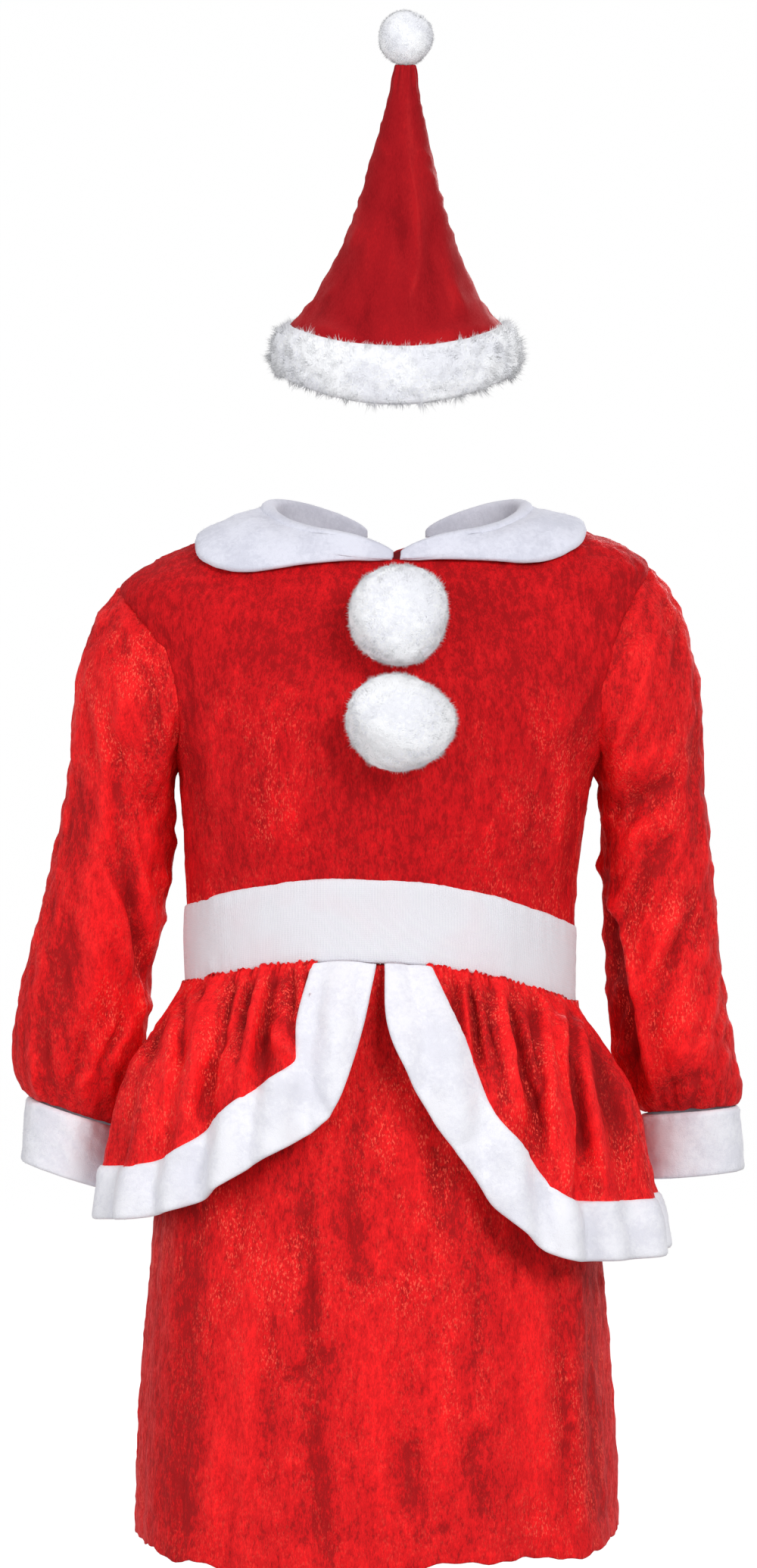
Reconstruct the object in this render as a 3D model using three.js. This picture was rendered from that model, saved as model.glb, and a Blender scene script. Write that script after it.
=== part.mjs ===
// A child's red velour dress with white fleece trim and a small cone hat, both filled out and hollow.
// Millimetres, +Z up. The origin is the middle of the neck opening, level with the shoulders at the neck;
// -Y is the front. Plan angles are degrees from the front, positive towards +X. Cloth pieces are walls
// whose outer face is a surface of two parameters; each stays a seam's width clear of its neighbours.

import * as THREE from "three";

// A table as a list of rows whose values go by the names of its columns
function tableOf(names, rows) {
  const columns = names.split(" ");
  return rows.map((values) => Object.fromEntries(values.map((value, i) => [columns[i], value])));
}

// Driving dimensions
const SEAM = 0.3;
const VELOUR = 1.6;
const FLEECE = 3.2;
const BAND_PROUD = 0.8;
const TRIM_PROUD = 2.2;
const SKIRT_HEM_Z = -493;
const HAT_LEAN = THREE.MathUtils.degToRad(9);
const HAT_BASE = new THREE.Vector3(-0.5, 0, 73);
const HAT_DROOP = 6;

// Rings of the body from the waistband's lower edge (ring 0) up to the neck seam. armhole is half the
// angle that is left open at each side, and slant lifts the +X side over the -X side.
const BODY = tableOf("ring middle half front back side frontZ backZ slant armhole", [
  [0, -8, 94.5, 77, 71, -230, -213, -229, -5, 0],
  [1, -8, 94.5, 76, 70, -191, -173, -190, -5, 0],
  [2, -7, 96.5, 79, 73, -160, -150, -158, -2, 0],
  [3, -6, 99, 81, 76, -137, -129, -134, 0, 0],
  [4, -5, 101.5, 80, 78, -122, -112, -116, 0, 0],
  [5, -4, 108, 78, 79, -109, -98, -101, 0, 19],
  [6, -3, 115, 75, 79, -94, -84, -85, 0.5, 28],
  [7, -3, 121, 70, 77, -76, -70, -68, 1.5, 31],
  [8, -4, 126, 65, 73, -57, -57, -52, 3, 29],
  [9, -6, 129, 60, 68, -39, -47, -39, 4, 20],
  [10, -6, 128, 56, 62, -25, -39, -29, 5, 0],
  [11, -4, 112, 53, 55, -14, -32, -20, 4, 0],
  [12, -2, 88, 49, 49, -5, -25, -12, 2, 0],
  [13, 0, 62, 45, 44, 0, -19, -6, 0, 0],
]);
const RING_WAIST = 1;
const RING_UNDERARM = 4;
const RING_SHOULDER = 10;
const RING_NECK = 13;
const BODY_SQUARENESS = 0.88;

// Opening between the back halves at the neck, half its width in degrees of plan angle
const BACK_OPENING = tableOf("ring half", [
  [12.1, 0.2],
  [12.5, 5],
  [13, 11],
]);

// Sections of each sleeve below the armhole; tilt lifts the outer side, in degrees
const SLEEVE_LEFT = tableOf("z middle y half depth tilt", [
  [-140, -135.4, 4, 27.4, 29, 14],
  [-175, -141, 6, 29, 29.5, 9],
  [-210, -149, 9, 30, 30.5, 10],
  [-240, -154, 12, 32, 31.5, 12],
  [-262, -157, 14, 32, 31.5, 15],
  [-277, -159, 15, 30, 29, 18],
  [-288, -158.5, 16, 24, 23, 18],
]);
const SLEEVE_RIGHT = tableOf("z middle y half depth tilt", [
  [-140, 125.5, 4, 26.5, 29, 10],
  [-175, 127.8, 6, 27, 29.5, 5],
  [-210, 130, 9, 28.2, 30.5, 5],
  [-240, 133, 12, 29, 31.5, 6],
  [-262, 137, 14, 29, 31.5, 6],
  [-277, 141.5, 15, 28, 29, 6],
  [-287, 144.7, 16, 23.8, 23, 5],
]);
const CUFF_LENGTH = 32;
const CUFF_FLARE = 0.5;
const CUFF_LEAN = 0.2;
const ARMHOLE_SHARE = 0.3;
const ARMHOLE_GAP = 0.6;

// Collar from the centre front to the centre back: its roll line, the lower edge of its leaf, and its
// thickness, which thins towards both ends
const COLLAR = tableOf("angle rollZ leafRing thick", [
  [1, -15, 12.75, 1.6],
  [6, -11.5, 12.6, 2.2],
  [14, -8, 12.45, 2.8],
  [24, -5.5, 11.9, 3.4],
  [36, -3.5, 11.1, 4],
  [52, 0, 11.15, 4],
  [70, 5, 11.55, 4],
  [90, 10, 11.85, 4],
  [112, 12.5, 11.6, 4],
  [134, 11.5, 11.2, 4],
  [152, 7.5, 11.5, 3.6],
  [163, 3, 12.0, 2.8],
  [169, -1, 12.4, 1.8],
]);

// Widening of the peplum with the drop below the waistband
const PEPLUM = tableOf("drop half front back wave", [
  [0, 94.3, 76.8, 70.8, 0.5],
  [10, 102, 84, 77, 0.9],
  [25, 113, 92, 84, 1.4],
  [45, 124, 98, 90, 2.0],
  [75, 131, 102, 95, 2.6],
  [130, 141, 108, 102, 3.4],
]);
const PEPLUM_MIDDLE = -8;
const PEPLUM_GATHERS = 15;
const CENTRE_BACK = 179.85;
const PEPLUM_CORNER_ROW = 2;
const EDGE_ANGLE = 0.3;
const EDGE_DROP = 0.45;
const ARM_DENT = { angle: 101, width: 24, depth: 13, share: 0.3 };
const PEPLUM_BULGE = { angle: 70, width: 16, height: 6 };

// Inner and outer edge of the fleece border: plan angle and drop below the waistband
const TRIM_LEFT = tableOf("inAngle inDrop outAngle outDrop", [
  [17.5, 1.9, 0.7, 1.9],
  [17.5, 25, 2.5, 26],
  [16.5, 44, 4.8, 49],
  [20, 52, 8, 70],
  [27, 60, 15, 84],
  [34, 70, 25, 96],
  [43, 83, 36, 109],
  [56, 89, 52, 115],
  [80, 87, 80, 113],
  [115, 90, 115, 116],
  [150, 93, 150, 119],
  [CENTRE_BACK, 94, CENTRE_BACK, 120],
]);
const TRIM_RIGHT = tableOf("inAngle inDrop outAngle outDrop", [
  [12.5, 1.9, 0.7, 1.9],
  [16, 24, 0.9, 27],
  [19, 46, 3.9, 50],
  [22.5, 68, 9, 73],
  [29, 83, 15.5, 95],
  [34, 97, 24, 118],
  [40, 102, 35, 131],
  [55, 98, 53, 127],
  [80, 90, 80, 117],
  [115, 88, 115, 114],
  [150, 92, 150, 118],
  [CENTRE_BACK, 94, CENTRE_BACK, 120],
]);

// Widening of the skirt under the peplum; share runs from the waistband to the hem
const SKIRT = tableOf("share middle half front back fold", [
  [0, -8, 92, 74.5, 68.5, 0],
  [0.15, -8.5, 100, 81, 76, 0.8],
  [0.35, -9.5, 107, 87, 82, 1.8],
  [0.6, -10, 113, 92, 88, 2.6],
  [0.85, -10, 117.5, 96, 92, 3.2],
  [1, -10, 118, 97, 93, 3.4],
]);
// Soft vertical folds of the skirt: place, half width in degrees, and depth as a share of the fold column
const SKIRT_FOLDS = tableOf("angle width depth", [
  [-78, 9, -0.9],
  [-52, 8, 0.8],
  [-36, 6, -0.7],
  [-16, 8, 0.9],
  [3, 6, -0.8],
  [21, 7, 0.7],
  [38, 6, -0.9],
  [57, 9, 0.9],
  [80, 8, -1],
  [104, 8, 0.8],
  [124, 7, -0.8],
  [146, 9, 0.9],
  [168, 7, -0.9],
  [-172, 8, 0.7],
  [-150, 8, -0.8],
  [-128, 9, 0.9],
  [-104, 8, -0.6],
]);

// Cone of the hat above its lower edge; depth is a share of the half width
const HAT = tableOf("up middle half depth", [
  [0, 0, 55, 0.82],
  [12, 0, 55, 0.82],
  [22, 0, 52.5, 0.83],
  [35, 0.3, 42, 0.86],
  [49, 1, 34, 0.88],
  [71, 2, 25, 0.9],
  [93, 2.6, 18.2, 0.92],
  [115, 3.4, 12.6, 0.95],
  [137, 4.2, 7.5, 1],
  [150, 4.8, 5, 1],
]);
const HAT_TOP = 150;
const HAT_EDGE = 3;
const HAT_SEAM_ANGLE = 1.2;
const BRIM_HEIGHT = 24;
const BRIM_BULGE = 6.2;
const BRIM_EDGE = 1.6;
const BRIM_CLEAR = 0.45;

// Pompoms: where each sits, how far its pile reaches sideways, and its height as a share of its width
const POMPOM_UPPER = { angle: 1.5, ring: 8.1, reach: 24.6, tall: 1.03 };
const POMPOM_LOWER = { angle: 2, ring: 4.75, reach: 26.6, tall: 0.87 };
const POMPOM_PRESS = 0.82;
const HAT_POMPOM_REACH = 13.3;
const LOCK_ROOT = 0.8;
const LOCK_TIP = { reach: 0.955, uneven: 0.04, draw: 0.45 };

const degrees = THREE.MathUtils.degToRad;
const clamp = THREE.MathUtils.clamp;

// Values of every column of a table at one value of its key, by a smooth curve through the rows
function rowAt(table, key, at) {
  const last = table.length - 1;
  let i = 0;
  while (i < last - 1 && at > table[i + 1][key]) i += 1;
  const from = table[i];
  const to = table[i + 1];
  const span = to[key] - from[key];
  const t = clamp((at - from[key]) / span, 0, 1);
  const before = table[Math.max(i - 1, 0)];
  const after = table[Math.min(i + 2, last)];
  const result = {};
  for (const name of Object.keys(from)) {
    const slopeFrom = (to[name] - before[name]) / (to[key] - before[key]);
    const slopeTo = (after[name] - from[name]) / (after[key] - from[key]);
    const t2 = t * t;
    const t3 = t2 * t;
    result[name] = (2 * t3 - 3 * t2 + 1) * from[name] + (t3 - 2 * t2 + t) * span * slopeFrom
      + (3 * t2 - 2 * t3) * to[name] + (t3 - t2) * span * slopeTo;
  }
  return result;
}

const signedPower = (value, power) => Math.sign(value) * Math.abs(value) ** power;

// Point of a rounded oval with its own depth in front and behind
function ovalPoint(angle, { middle, half, front, back }, z, squareness) {
  const a = degrees(angle);
  const depth = Math.cos(a) >= 0 ? front : back;
  return new THREE.Vector3(
    middle + half * signedPower(Math.sin(a), squareness),
    -depth * signedPower(Math.cos(a), squareness),
    z,
  );
}

// Height of a ring at a plan angle: level at the side, and rising or falling to the front and the back
function ringHeight(angle, row) {
  const a = degrees(angle);
  const middleZ = Math.cos(a) >= 0 ? row.frontZ : row.backZ;
  return row.side + (middleZ - row.side) * Math.cos(a) ** 2 + row.slant * Math.sin(a);
}

function bodySurface(angle, ring) {
  const row = rowAt(BODY, "ring", ring);
  return ovalPoint(angle, row, ringHeight(angle, row), BODY_SQUARENESS);
}

// Outward unit normal of a surface whose first parameter turns towards +X and whose second goes up
function normalOf(place, s, t, step = 1e-3) {
  const alongS = place(s + step, t).sub(place(s - step, t));
  const alongT = place(s, t + step).sub(place(s, t - step));
  return alongS.cross(alongT).normalize();
}

const bodyNormal = (angle, ring) => normalOf(bodySurface, angle, clamp(ring, 0.01, RING_NECK - 0.01), 0.01);

// Closed wall between an outer and an inner grid of points; round joins the last column to the first
function wallGeometry(outer, inner, round) {
  const columns = outer.length;
  const rows = outer[0].length;
  const positions = [];
  for (const grid of [outer, inner]) {
    for (const line of grid) {
      for (const point of line) positions.push(point.x, point.y, point.z);
    }
  }
  const out = (i, j) => (i % columns) * rows + j;
  const inn = (i, j) => columns * rows + out(i, j);
  const index = [];
  const quad = (a, b, c, d) => index.push(a, b, c, a, c, d);
  const spans = round ? columns : columns - 1;
  for (let i = 0; i < spans; i += 1) {
    for (let j = 0; j < rows - 1; j += 1) {
      quad(out(i, j), out(i + 1, j), out(i + 1, j + 1), out(i, j + 1));
      quad(inn(i, j), inn(i, j + 1), inn(i + 1, j + 1), inn(i + 1, j));
    }
    quad(inn(i, 0), inn(i + 1, 0), out(i + 1, 0), out(i, 0));
    quad(out(i, rows - 1), out(i + 1, rows - 1), inn(i + 1, rows - 1), inn(i, rows - 1));
  }
  if (!round) {
    for (let j = 0; j < rows - 1; j += 1) {
      quad(inn(0, j), out(0, j), out(0, j + 1), inn(0, j + 1));
      quad(out(columns - 1, j), inn(columns - 1, j), inn(columns - 1, j + 1), out(columns - 1, j + 1));
    }
  }
  return closedGeometry(positions, index);
}

// Geometry whose faces are turned outwards if the list of triangles encloses a negative volume
function closedGeometry(positions, index) {
  const corner = (k) => new THREE.Vector3().fromArray(positions, 3 * index[k]);
  let volume = 0;
  for (let k = 0; k < index.length; k += 3) {
    volume += corner(k).dot(corner(k + 1).cross(corner(k + 2)));
  }
  if (volume < 0) {
    for (let k = 0; k < index.length; k += 3) {
      [index[k + 1], index[k + 2]] = [index[k + 2], index[k + 1]];
    }
  }
  const geometry = new THREE.BufferGeometry();
  geometry.setAttribute("position", new THREE.Float32BufferAttribute(positions, 3));
  geometry.setIndex(index);
  geometry.computeVertexNormals();
  return geometry;
}

// Cloth wall on a surface place(s, t), s and t from 0 to 1: moved out by proud, thick towards the inside
function clothWall(place, { across, along, thick, proud = 0, round = false, side = 1 }) {
  const outer = [];
  const inner = [];
  const columns = round ? across : across + 1;
  for (let i = 0; i < columns; i += 1) {
    outer.push([]);
    inner.push([]);
    for (let j = 0; j <= along; j += 1) {
      const s = i / across;
      const t = j / along;
      const point = place(s, t);
      const normal = normalOf(place, s, clamp(t, 0.002, 0.998)).multiplyScalar(side);
      outer[i].push(point.clone().addScaledVector(normal, proud));
      inner[i].push(point.clone().addScaledVector(normal, proud - thick));
    }
  }
  return wallGeometry(outer, inner, round);
}

const velour = new THREE.MeshStandardMaterial({ color: 0xc41a22, roughness: 0.75, metalness: 0 });
const velvet = new THREE.MeshStandardMaterial({ color: 0xa8161c, roughness: 0.6, metalness: 0 });
const fleece = new THREE.MeshStandardMaterial({ color: 0xf2eff0, roughness: 0.95, metalness: 0 });
const plush = new THREE.MeshStandardMaterial({ color: 0xf8f7f7, roughness: 1, metalness: 0 });

const dress = new THREE.Group();
const hat = new THREE.Group();

function addPiece(group, name, geometry, material) {
  const mesh = new THREE.Mesh(geometry, material);
  mesh.name = name;
  group.add(mesh);
}

// Bodice: a panel of the body surface between two plan angles, cut back round the armholes
const SEAM_ANGLE = 0.1;
const armholeAt = (ring) => {
  const inside = ring > RING_UNDERARM && ring < RING_SHOULDER;
  return SEAM_ANGLE + (inside ? Math.max(rowAt(BODY, "ring", ring).armhole, 0) : 0);
};
const backOpeningAt = (ring) => (
  ring < BACK_OPENING[0].ring ? BACK_OPENING[0].half : rowAt(BACK_OPENING, "ring", ring).half
);
const BODICE_BOTTOM = RING_WAIST + 0.004;

function bodicePanel(edgeFrom, edgeTo) {
  return (s, t) => {
    const ring = BODICE_BOTTOM + (RING_NECK - BODICE_BOTTOM) * t;
    const from = edgeFrom(ring);
    const to = edgeTo(ring);
    return bodySurface(from + (to - from) * s, ring);
  };
}

addPiece(dress, "bodice_front", clothWall(
  bodicePanel((ring) => armholeAt(ring) - 90, (ring) => 90 - armholeAt(ring)),
  { across: 18, along: 12, thick: VELOUR },
), velour);
addPiece(dress, "bodice_back_right", clothWall(
  bodicePanel((ring) => 90 + armholeAt(ring), (ring) => 180 - backOpeningAt(ring)),
  { across: 9, along: 12, thick: VELOUR },
), velour);
addPiece(dress, "bodice_back_left", clothWall(
  bodicePanel((ring) => backOpeningAt(ring) - 180, (ring) => -90 - armholeAt(ring)),
  { across: 9, along: 12, thick: VELOUR },
), velour);

// Waistband: the body surface between its own two rings, a little proud
const bandPlace = (s, t) => bodySurface(-179.9 + 359.8 * s, (RING_WAIST - 0.004) * t);
addPiece(dress, "waistband", clothWall(bandPlace, {
  across: 44, along: 2, thick: FLEECE, proud: BAND_PROUD,
}), fleece);

// Sleeve: from the armhole's edge, along a smooth curve for each point of it, into the arm's sections
function armholePoint(sign, turn) {
  const rise = (1 - Math.cos(2 * Math.PI * turn)) / 2;
  const ring = RING_UNDERARM + (RING_SHOULDER - RING_UNDERARM) * rise;
  const opening = armholeAt(ring) - SEAM_ANGLE;
  const angle = turn < 0.5 ? 90 - opening : 90 + opening;
  return bodySurface(sign * angle, ring);
}

// Point of an arm section: turn 0 faces the body, 0.25 the front, 0.5 away from the body
function armPoint(sign, turn, row) {
  const a = 2 * Math.PI * turn;
  const outward = -Math.cos(a) * row.half;
  return new THREE.Vector3(
    row.middle + sign * outward * Math.cos(degrees(row.tilt)),
    row.y - Math.sin(a) * row.depth,
    row.z + outward * Math.sin(degrees(row.tilt)),
  );
}

// Direction in which the sleeve leaves the armhole: down at the underarm, out and down over the shoulder
function armholeLeave(sign, turn) {
  const a = 2 * Math.PI * turn;
  const rise = (1 - Math.cos(a)) / 2;
  return new THREE.Vector3(sign * (0.35 + 0.45 * rise), -0.28 * Math.sin(a), -1 + 0.3 * rise).normalize();
}

function sleevePlace(sign, table) {
  const top = table[0];
  const bottom = table[table.length - 1];
  return (s, t) => {
    const turn = ((s % 1) + 1) % 1;
    const down = 1 - t;
    if (down >= ARMHOLE_SHARE) {
      const share = (down - ARMHOLE_SHARE) / (1 - ARMHOLE_SHARE);
      return armPoint(sign, turn, rowAt([...table].reverse(), "z", top.z + (bottom.z - top.z) * share));
    }
    const leave = armholeLeave(sign, turn);
    const start = armholePoint(sign, turn).addScaledVector(leave, ARMHOLE_GAP);
    const end = armPoint(sign, turn, top);
    const reach = start.distanceTo(end);
    const axis = armPoint(sign, turn, rowAt([...table].reverse(), "z", top.z - 4)).sub(end).normalize();
    const u = down / ARMHOLE_SHARE;
    const u2 = u * u;
    const u3 = u2 * u;
    return start.clone().multiplyScalar(2 * u3 - 3 * u2 + 1)
      .addScaledVector(leave, (u3 - 2 * u2 + u) * reach)
      .addScaledVector(end, 3 * u2 - 2 * u3)
      .addScaledVector(axis, (u3 - u2) * reach);
  };
}

function cuffPlace(sign, table) {
  const top = table[table.length - 1];
  const lean = degrees(top.tilt * CUFF_LEAN);
  const down = new THREE.Vector3(sign * Math.sin(lean), 0, -Math.cos(lean));
  return (s, t) => {
    const length = SEAM + (CUFF_LENGTH - SEAM) * (1 - t);
    const row = { ...top, half: top.half + CUFF_FLARE * (1 - t), depth: top.depth + CUFF_FLARE * (1 - t) };
    return armPoint(sign, s, row).addScaledVector(down, length);
  };
}

for (const [name, sign, table] of [["left", -1, SLEEVE_LEFT], ["right", 1, SLEEVE_RIGHT]]) {
  addPiece(dress, `sleeve_${name}`, clothWall(sleevePlace(sign, table), {
    across: 14, along: 12, thick: VELOUR, round: true, side: sign,
  }), velour);
  addPiece(dress, `cuff_${name}`, clothWall(cuffPlace(sign, table), {
    across: 14, along: 2, thick: FLEECE, proud: 1, round: true, side: sign,
  }), fleece);
}

// Collar: a fleece sheet that stands up from the neck seam, rolls over and lies on the bodice
const COLLAR_CLEAR = 0.6;
const COLLAR_LOOSE = 0.3;
const LEAF_START = 0.12;
const ROLL_STEPS = 4;
const LEAF_STEPS = 4;

// Middle line of the sheet at one plan angle, from the neck seam over the roll to the leaf's edge
function collarLine(angle, row) {
  const lift = COLLAR_CLEAR + row.thick / 2;
  const neck = bodySurface(angle, RING_NECK);
  const outward = neck.clone().setZ(0).normalize();
  const radius = row.thick / 2 + COLLAR_LOOSE;
  const spring = neck.clone().addScaledVector(outward, COLLAR_CLEAR - row.thick / 2);
  const line = [spring.clone().setZ(neck.z + SEAM)];
  spring.z = Math.max(row.rollZ - row.thick / 2 - radius, neck.z + 2 * SEAM);
  for (let k = 0; k <= ROLL_STEPS; k += 1) {
    const a = Math.PI * (k / ROLL_STEPS);
    line.push(spring.clone().addScaledVector(outward, radius * (1 - Math.cos(a)))
      .add(new THREE.Vector3(0, 0, radius * Math.sin(a))));
  }
  for (let k = 1; k <= LEAF_STEPS; k += 1) {
    const share = k / LEAF_STEPS;
    const ring = RING_NECK - LEAF_START + (row.leafRing - RING_NECK + LEAF_START) * share;
    line.push(bodySurface(angle, ring).addScaledVector(bodyNormal(angle, ring), lift));
  }
  return line;
}

// Sheet of a thickness round a set of middle lines, with its faces square to each line
function sheetOnLines(lines, thicks, outwards) {
  const outer = [];
  const inner = [];
  lines.forEach((line, i) => {
    outer.push([]);
    inner.push([]);
    line.forEach((point, k) => {
      const along = line[Math.min(k + 1, line.length - 1)].clone().sub(line[Math.max(k - 1, 0)]);
      const next = lines[Math.min(i + 1, lines.length - 1)][k];
      const across = next.clone().sub(lines[Math.max(i - 1, 0)][k]);
      const normal = across.cross(along).normalize().multiplyScalar(outwards * thicks[i] / 2);
      outer[i].push(point.clone().add(normal));
      inner[i].push(point.clone().sub(normal));
    });
  });
  return wallGeometry(outer, inner, false);
}

const COLLAR_COLUMNS = 16;
for (const [name, sign] of [["left", -1], ["right", 1]]) {
  const lines = [];
  const thicks = [];
  const first = COLLAR[0].angle;
  const last = COLLAR[COLLAR.length - 1].angle;
  for (let i = 0; i <= COLLAR_COLUMNS; i += 1) {
    const angle = first + (last - first) * (i / COLLAR_COLUMNS);
    const row = rowAt(COLLAR, "angle", angle);
    lines.push(collarLine(sign * angle, row));
    thicks.push(row.thick);
  }
  addPiece(dress, `collar_${name}`, sheetOnLines(lines, thicks, -sign), fleece);
}

// Peplum: flares from the waistband, gathered into uneven waves, and pressed in behind each arm
const hump = (angle, { angle: at, width }) => Math.exp(-(((Math.abs(angle) - at) / width) ** 4));

function peplumSurface(angle, drop) {
  const row = rowAt(PEPLUM, "drop", drop);
  const a = degrees(angle);
  const waves = Math.sin(PEPLUM_GATHERS * a * 2 + 1.3 * Math.sin(3 * a)) + 0.5 * Math.sin(13 * a + 0.8);
  const dent = Math.min(ARM_DENT.depth, ARM_DENT.share * drop) * hump(angle, ARM_DENT);
  const bulge = PEPLUM_BULGE.height * clamp(drop / 40, 0, 1) * hump(angle, PEPLUM_BULGE);
  const swell = row.wave * waves - dent + bulge;
  const ring = BODY[0];
  const oval = {
    middle: PEPLUM_MIDDLE, half: row.half + swell, front: row.front + swell, back: row.back + swell,
  };
  return ovalPoint(angle, oval, ringHeight(angle, ring) - drop, BODY_SQUARENESS);
}

// Edges of the red panel and of its border, from the front opening round to the centre back
function trimEdge(table, share) {
  const rows = table.map((row, i) => ({ ...row, share: i / (table.length - 1) }));
  return rowAt(rows, "share", share);
}

function peplumPlace(sign, table) {
  const cornerShare = PEPLUM_CORNER_ROW / (table.length - 1);
  const cornerAngle = table[PEPLUM_CORNER_ROW].inAngle;
  const spread = (CENTRE_BACK - table[0].inAngle) / (CENTRE_BACK - cornerAngle);
  return (s, t) => {
    const edge = trimEdge(table, cornerShare + (1 - cornerShare) * s);
    const topAngle = table[0].inAngle + (edge.inAngle - cornerAngle) * spread;
    const front = trimEdge(table, cornerShare * (1 - t));
    const near = Math.max(1 - s, 0) ** 5;
    const angle = (edge.inAngle + (topAngle - edge.inAngle) * t) * (1 - near) + front.inAngle * near;
    const drop = (edge.inDrop + (SEAM - edge.inDrop) * t) * (1 - near) + (front.inDrop - SEAM * t) * near;
    return peplumSurface(sign * (angle + EDGE_ANGLE * (1 - s)), drop - EDGE_DROP * (1 - t));
  };
}

function trimPlace(sign, table) {
  return (s, t) => {
    const edge = trimEdge(table, s);
    const angle = edge.outAngle + (edge.inAngle - edge.outAngle) * t;
    const drop = edge.outDrop + (edge.inDrop - edge.outDrop) * t;
    return peplumSurface(sign * angle, drop);
  };
}

for (const [name, sign, table] of [["left", -1, TRIM_LEFT], ["right", 1, TRIM_RIGHT]]) {
  addPiece(dress, `peplum_${name}`, clothWall(peplumPlace(sign, table), {
    across: 36, along: 5, thick: VELOUR, side: sign,
  }), velour);
  addPiece(dress, `peplum_trim_${name}`, clothWall(trimPlace(sign, table), {
    across: 44, along: 2, thick: FLEECE, proud: TRIM_PROUD, side: sign,
  }), fleece);
}

// Skirt: hangs from inside the waistband, with soft vertical folds
function skirtSurface(angle, share) {
  const row = rowAt(SKIRT, "share", share);
  let fold = 0;
  for (const { angle: at, width, depth } of SKIRT_FOLDS) {
    fold += depth * Math.exp(-(((angle - at) / width) ** 2));
  }
  const oval = {
    middle: row.middle,
    half: row.half + fold * row.fold,
    front: row.front + fold * row.fold,
    back: row.back + fold * row.fold,
  };
  const topZ = ringHeight(angle, BODY[0]) - SEAM;
  return ovalPoint(angle, oval, topZ + (SKIRT_HEM_Z - topZ) * share, BODY_SQUARENESS);
}

addPiece(dress, "skirt_front", clothWall((s, t) => skirtSurface(-89.9 + 179.8 * s, 1 - t), {
  across: 28, along: 6, thick: VELOUR,
}), velour);
addPiece(dress, "skirt_back", clothWall((s, t) => {
  const angle = 90.1 + 179.8 * s;
  return skirtSurface(angle > 180 ? angle - 360 : angle, 1 - t);
}, { across: 28, along: 6, thick: VELOUR }), velour);

// Pompom: a ball whose faces are drawn out into short three-sided locks, pressed a little along its seat
function pompomGeometry(centre, { reach, tall }, seat, press) {
  const ball = new THREE.IcosahedronGeometry(1, 1);
  const corners = ball.getAttribute("position");
  const keys = new Map();
  const positions = [];
  const index = [];
  const root = LOCK_ROOT * reach;
  const vertexAt = (direction, radius) => {
    const point = direction.clone().multiplyScalar(radius);
    point.addScaledVector(seat, (press - 1) * point.dot(seat));
    point.z *= tall;
    positions.push(...point.add(centre).toArray());
    return positions.length / 3 - 1;
  };
  const sharedAt = (direction) => {
    const key = direction.toArray().map((value) => value.toFixed(4)).join();
    if (!keys.has(key)) keys.set(key, vertexAt(direction, root));
    return keys.get(key);
  };
  for (let face = 0; face < corners.count; face += 3) {
    const cornerAt = (k) => new THREE.Vector3().fromBufferAttribute(corners, face + k).normalize();
    const directions = [0, 1, 2].map(cornerAt);
    const middle = directions[0].clone().add(directions[1]).add(directions[2]).normalize();
    const tipRadius = reach * (LOCK_TIP.reach + LOCK_TIP.uneven * Math.sin(2.4 * face));
    const base = directions.map(sharedAt);
    const tipAt = (direction) => vertexAt(direction.lerp(middle, LOCK_TIP.draw).normalize(), tipRadius);
    const tips = directions.map(tipAt);
    for (let k = 0; k < 3; k += 1) {
      const next = (k + 1) % 3;
      index.push(base[k], base[next], tips[next], base[k], tips[next], tips[k]);
    }
    index.push(...tips);
  }
  return closedGeometry(positions, index);
}

for (const [name, ball] of [["upper", POMPOM_UPPER], ["lower", POMPOM_LOWER]]) {
  const normal = bodyNormal(ball.angle, ball.ring);
  const centre = bodySurface(ball.angle, ball.ring)
    .addScaledVector(normal, ball.reach * POMPOM_PRESS + SEAM);
  addPiece(dress, `pompom_${name}`, pompomGeometry(centre, ball, normal, POMPOM_PRESS), plush);
}

// Hat: an oval cone that leans forward, its lower edge drooping at the front
function hatPoint(angle, up, outward = 0) {
  const row = rowAt(HAT, "up", up);
  const oval = {
    middle: row.middle,
    half: row.half + outward,
    front: row.half * row.depth + outward,
    back: row.half * row.depth + outward,
  };
  const droop = HAT_DROOP * Math.max(Math.cos(degrees(angle)), 0) ** 2 * (1 - clamp(up / 60, 0, 1));
  return ovalPoint(angle, oval, up - droop, 1)
    .applyAxisAngle(new THREE.Vector3(1, 0, 0), HAT_LEAN)
    .add(HAT_BASE);
}

const coneAngle = (up) => HAT_SEAM_ANGLE * clamp(0.15 + up / HAT_TOP, 0, 1);
for (const [name, from, to] of [["front", -90, 90], ["back", 90, 270]]) {
  addPiece(hat, `hat_${name}`, clothWall((s, t) => {
    const up = HAT_EDGE + (HAT_TOP - HAT_EDGE) * t;
    const gap = coneAngle(up);
    return hatPoint(from + gap + (to - from - 2 * gap) * s, up);
  }, { across: 10, along: 9, thick: VELOUR }), velvet);
}

// Brim: a plush ring round the cone's lower edge, rounded outwards
const BRIM_PROFILE = 6;
function brimGeometry(columns) {
  const lines = [];
  const backs = [];
  for (let i = 0; i < columns; i += 1) {
    const angle = 360 * (i / columns) - 180;
    const line = [];
    const back = [];
    for (let k = 0; k <= BRIM_PROFILE; k += 1) {
      const share = k / BRIM_PROFILE;
      const up = BRIM_HEIGHT * share;
      back.push(hatPoint(angle, up, BRIM_CLEAR));
      line.push(hatPoint(angle, up, BRIM_EDGE + BRIM_BULGE * Math.max(1 - (2 * share - 1) ** 2, 0) ** 0.4));
    }
    lines.push(line);
    backs.push(back);
  }
  return wallGeometry(lines, backs, true);
}
addPiece(hat, "hat_brim", brimGeometry(26), plush);

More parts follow.
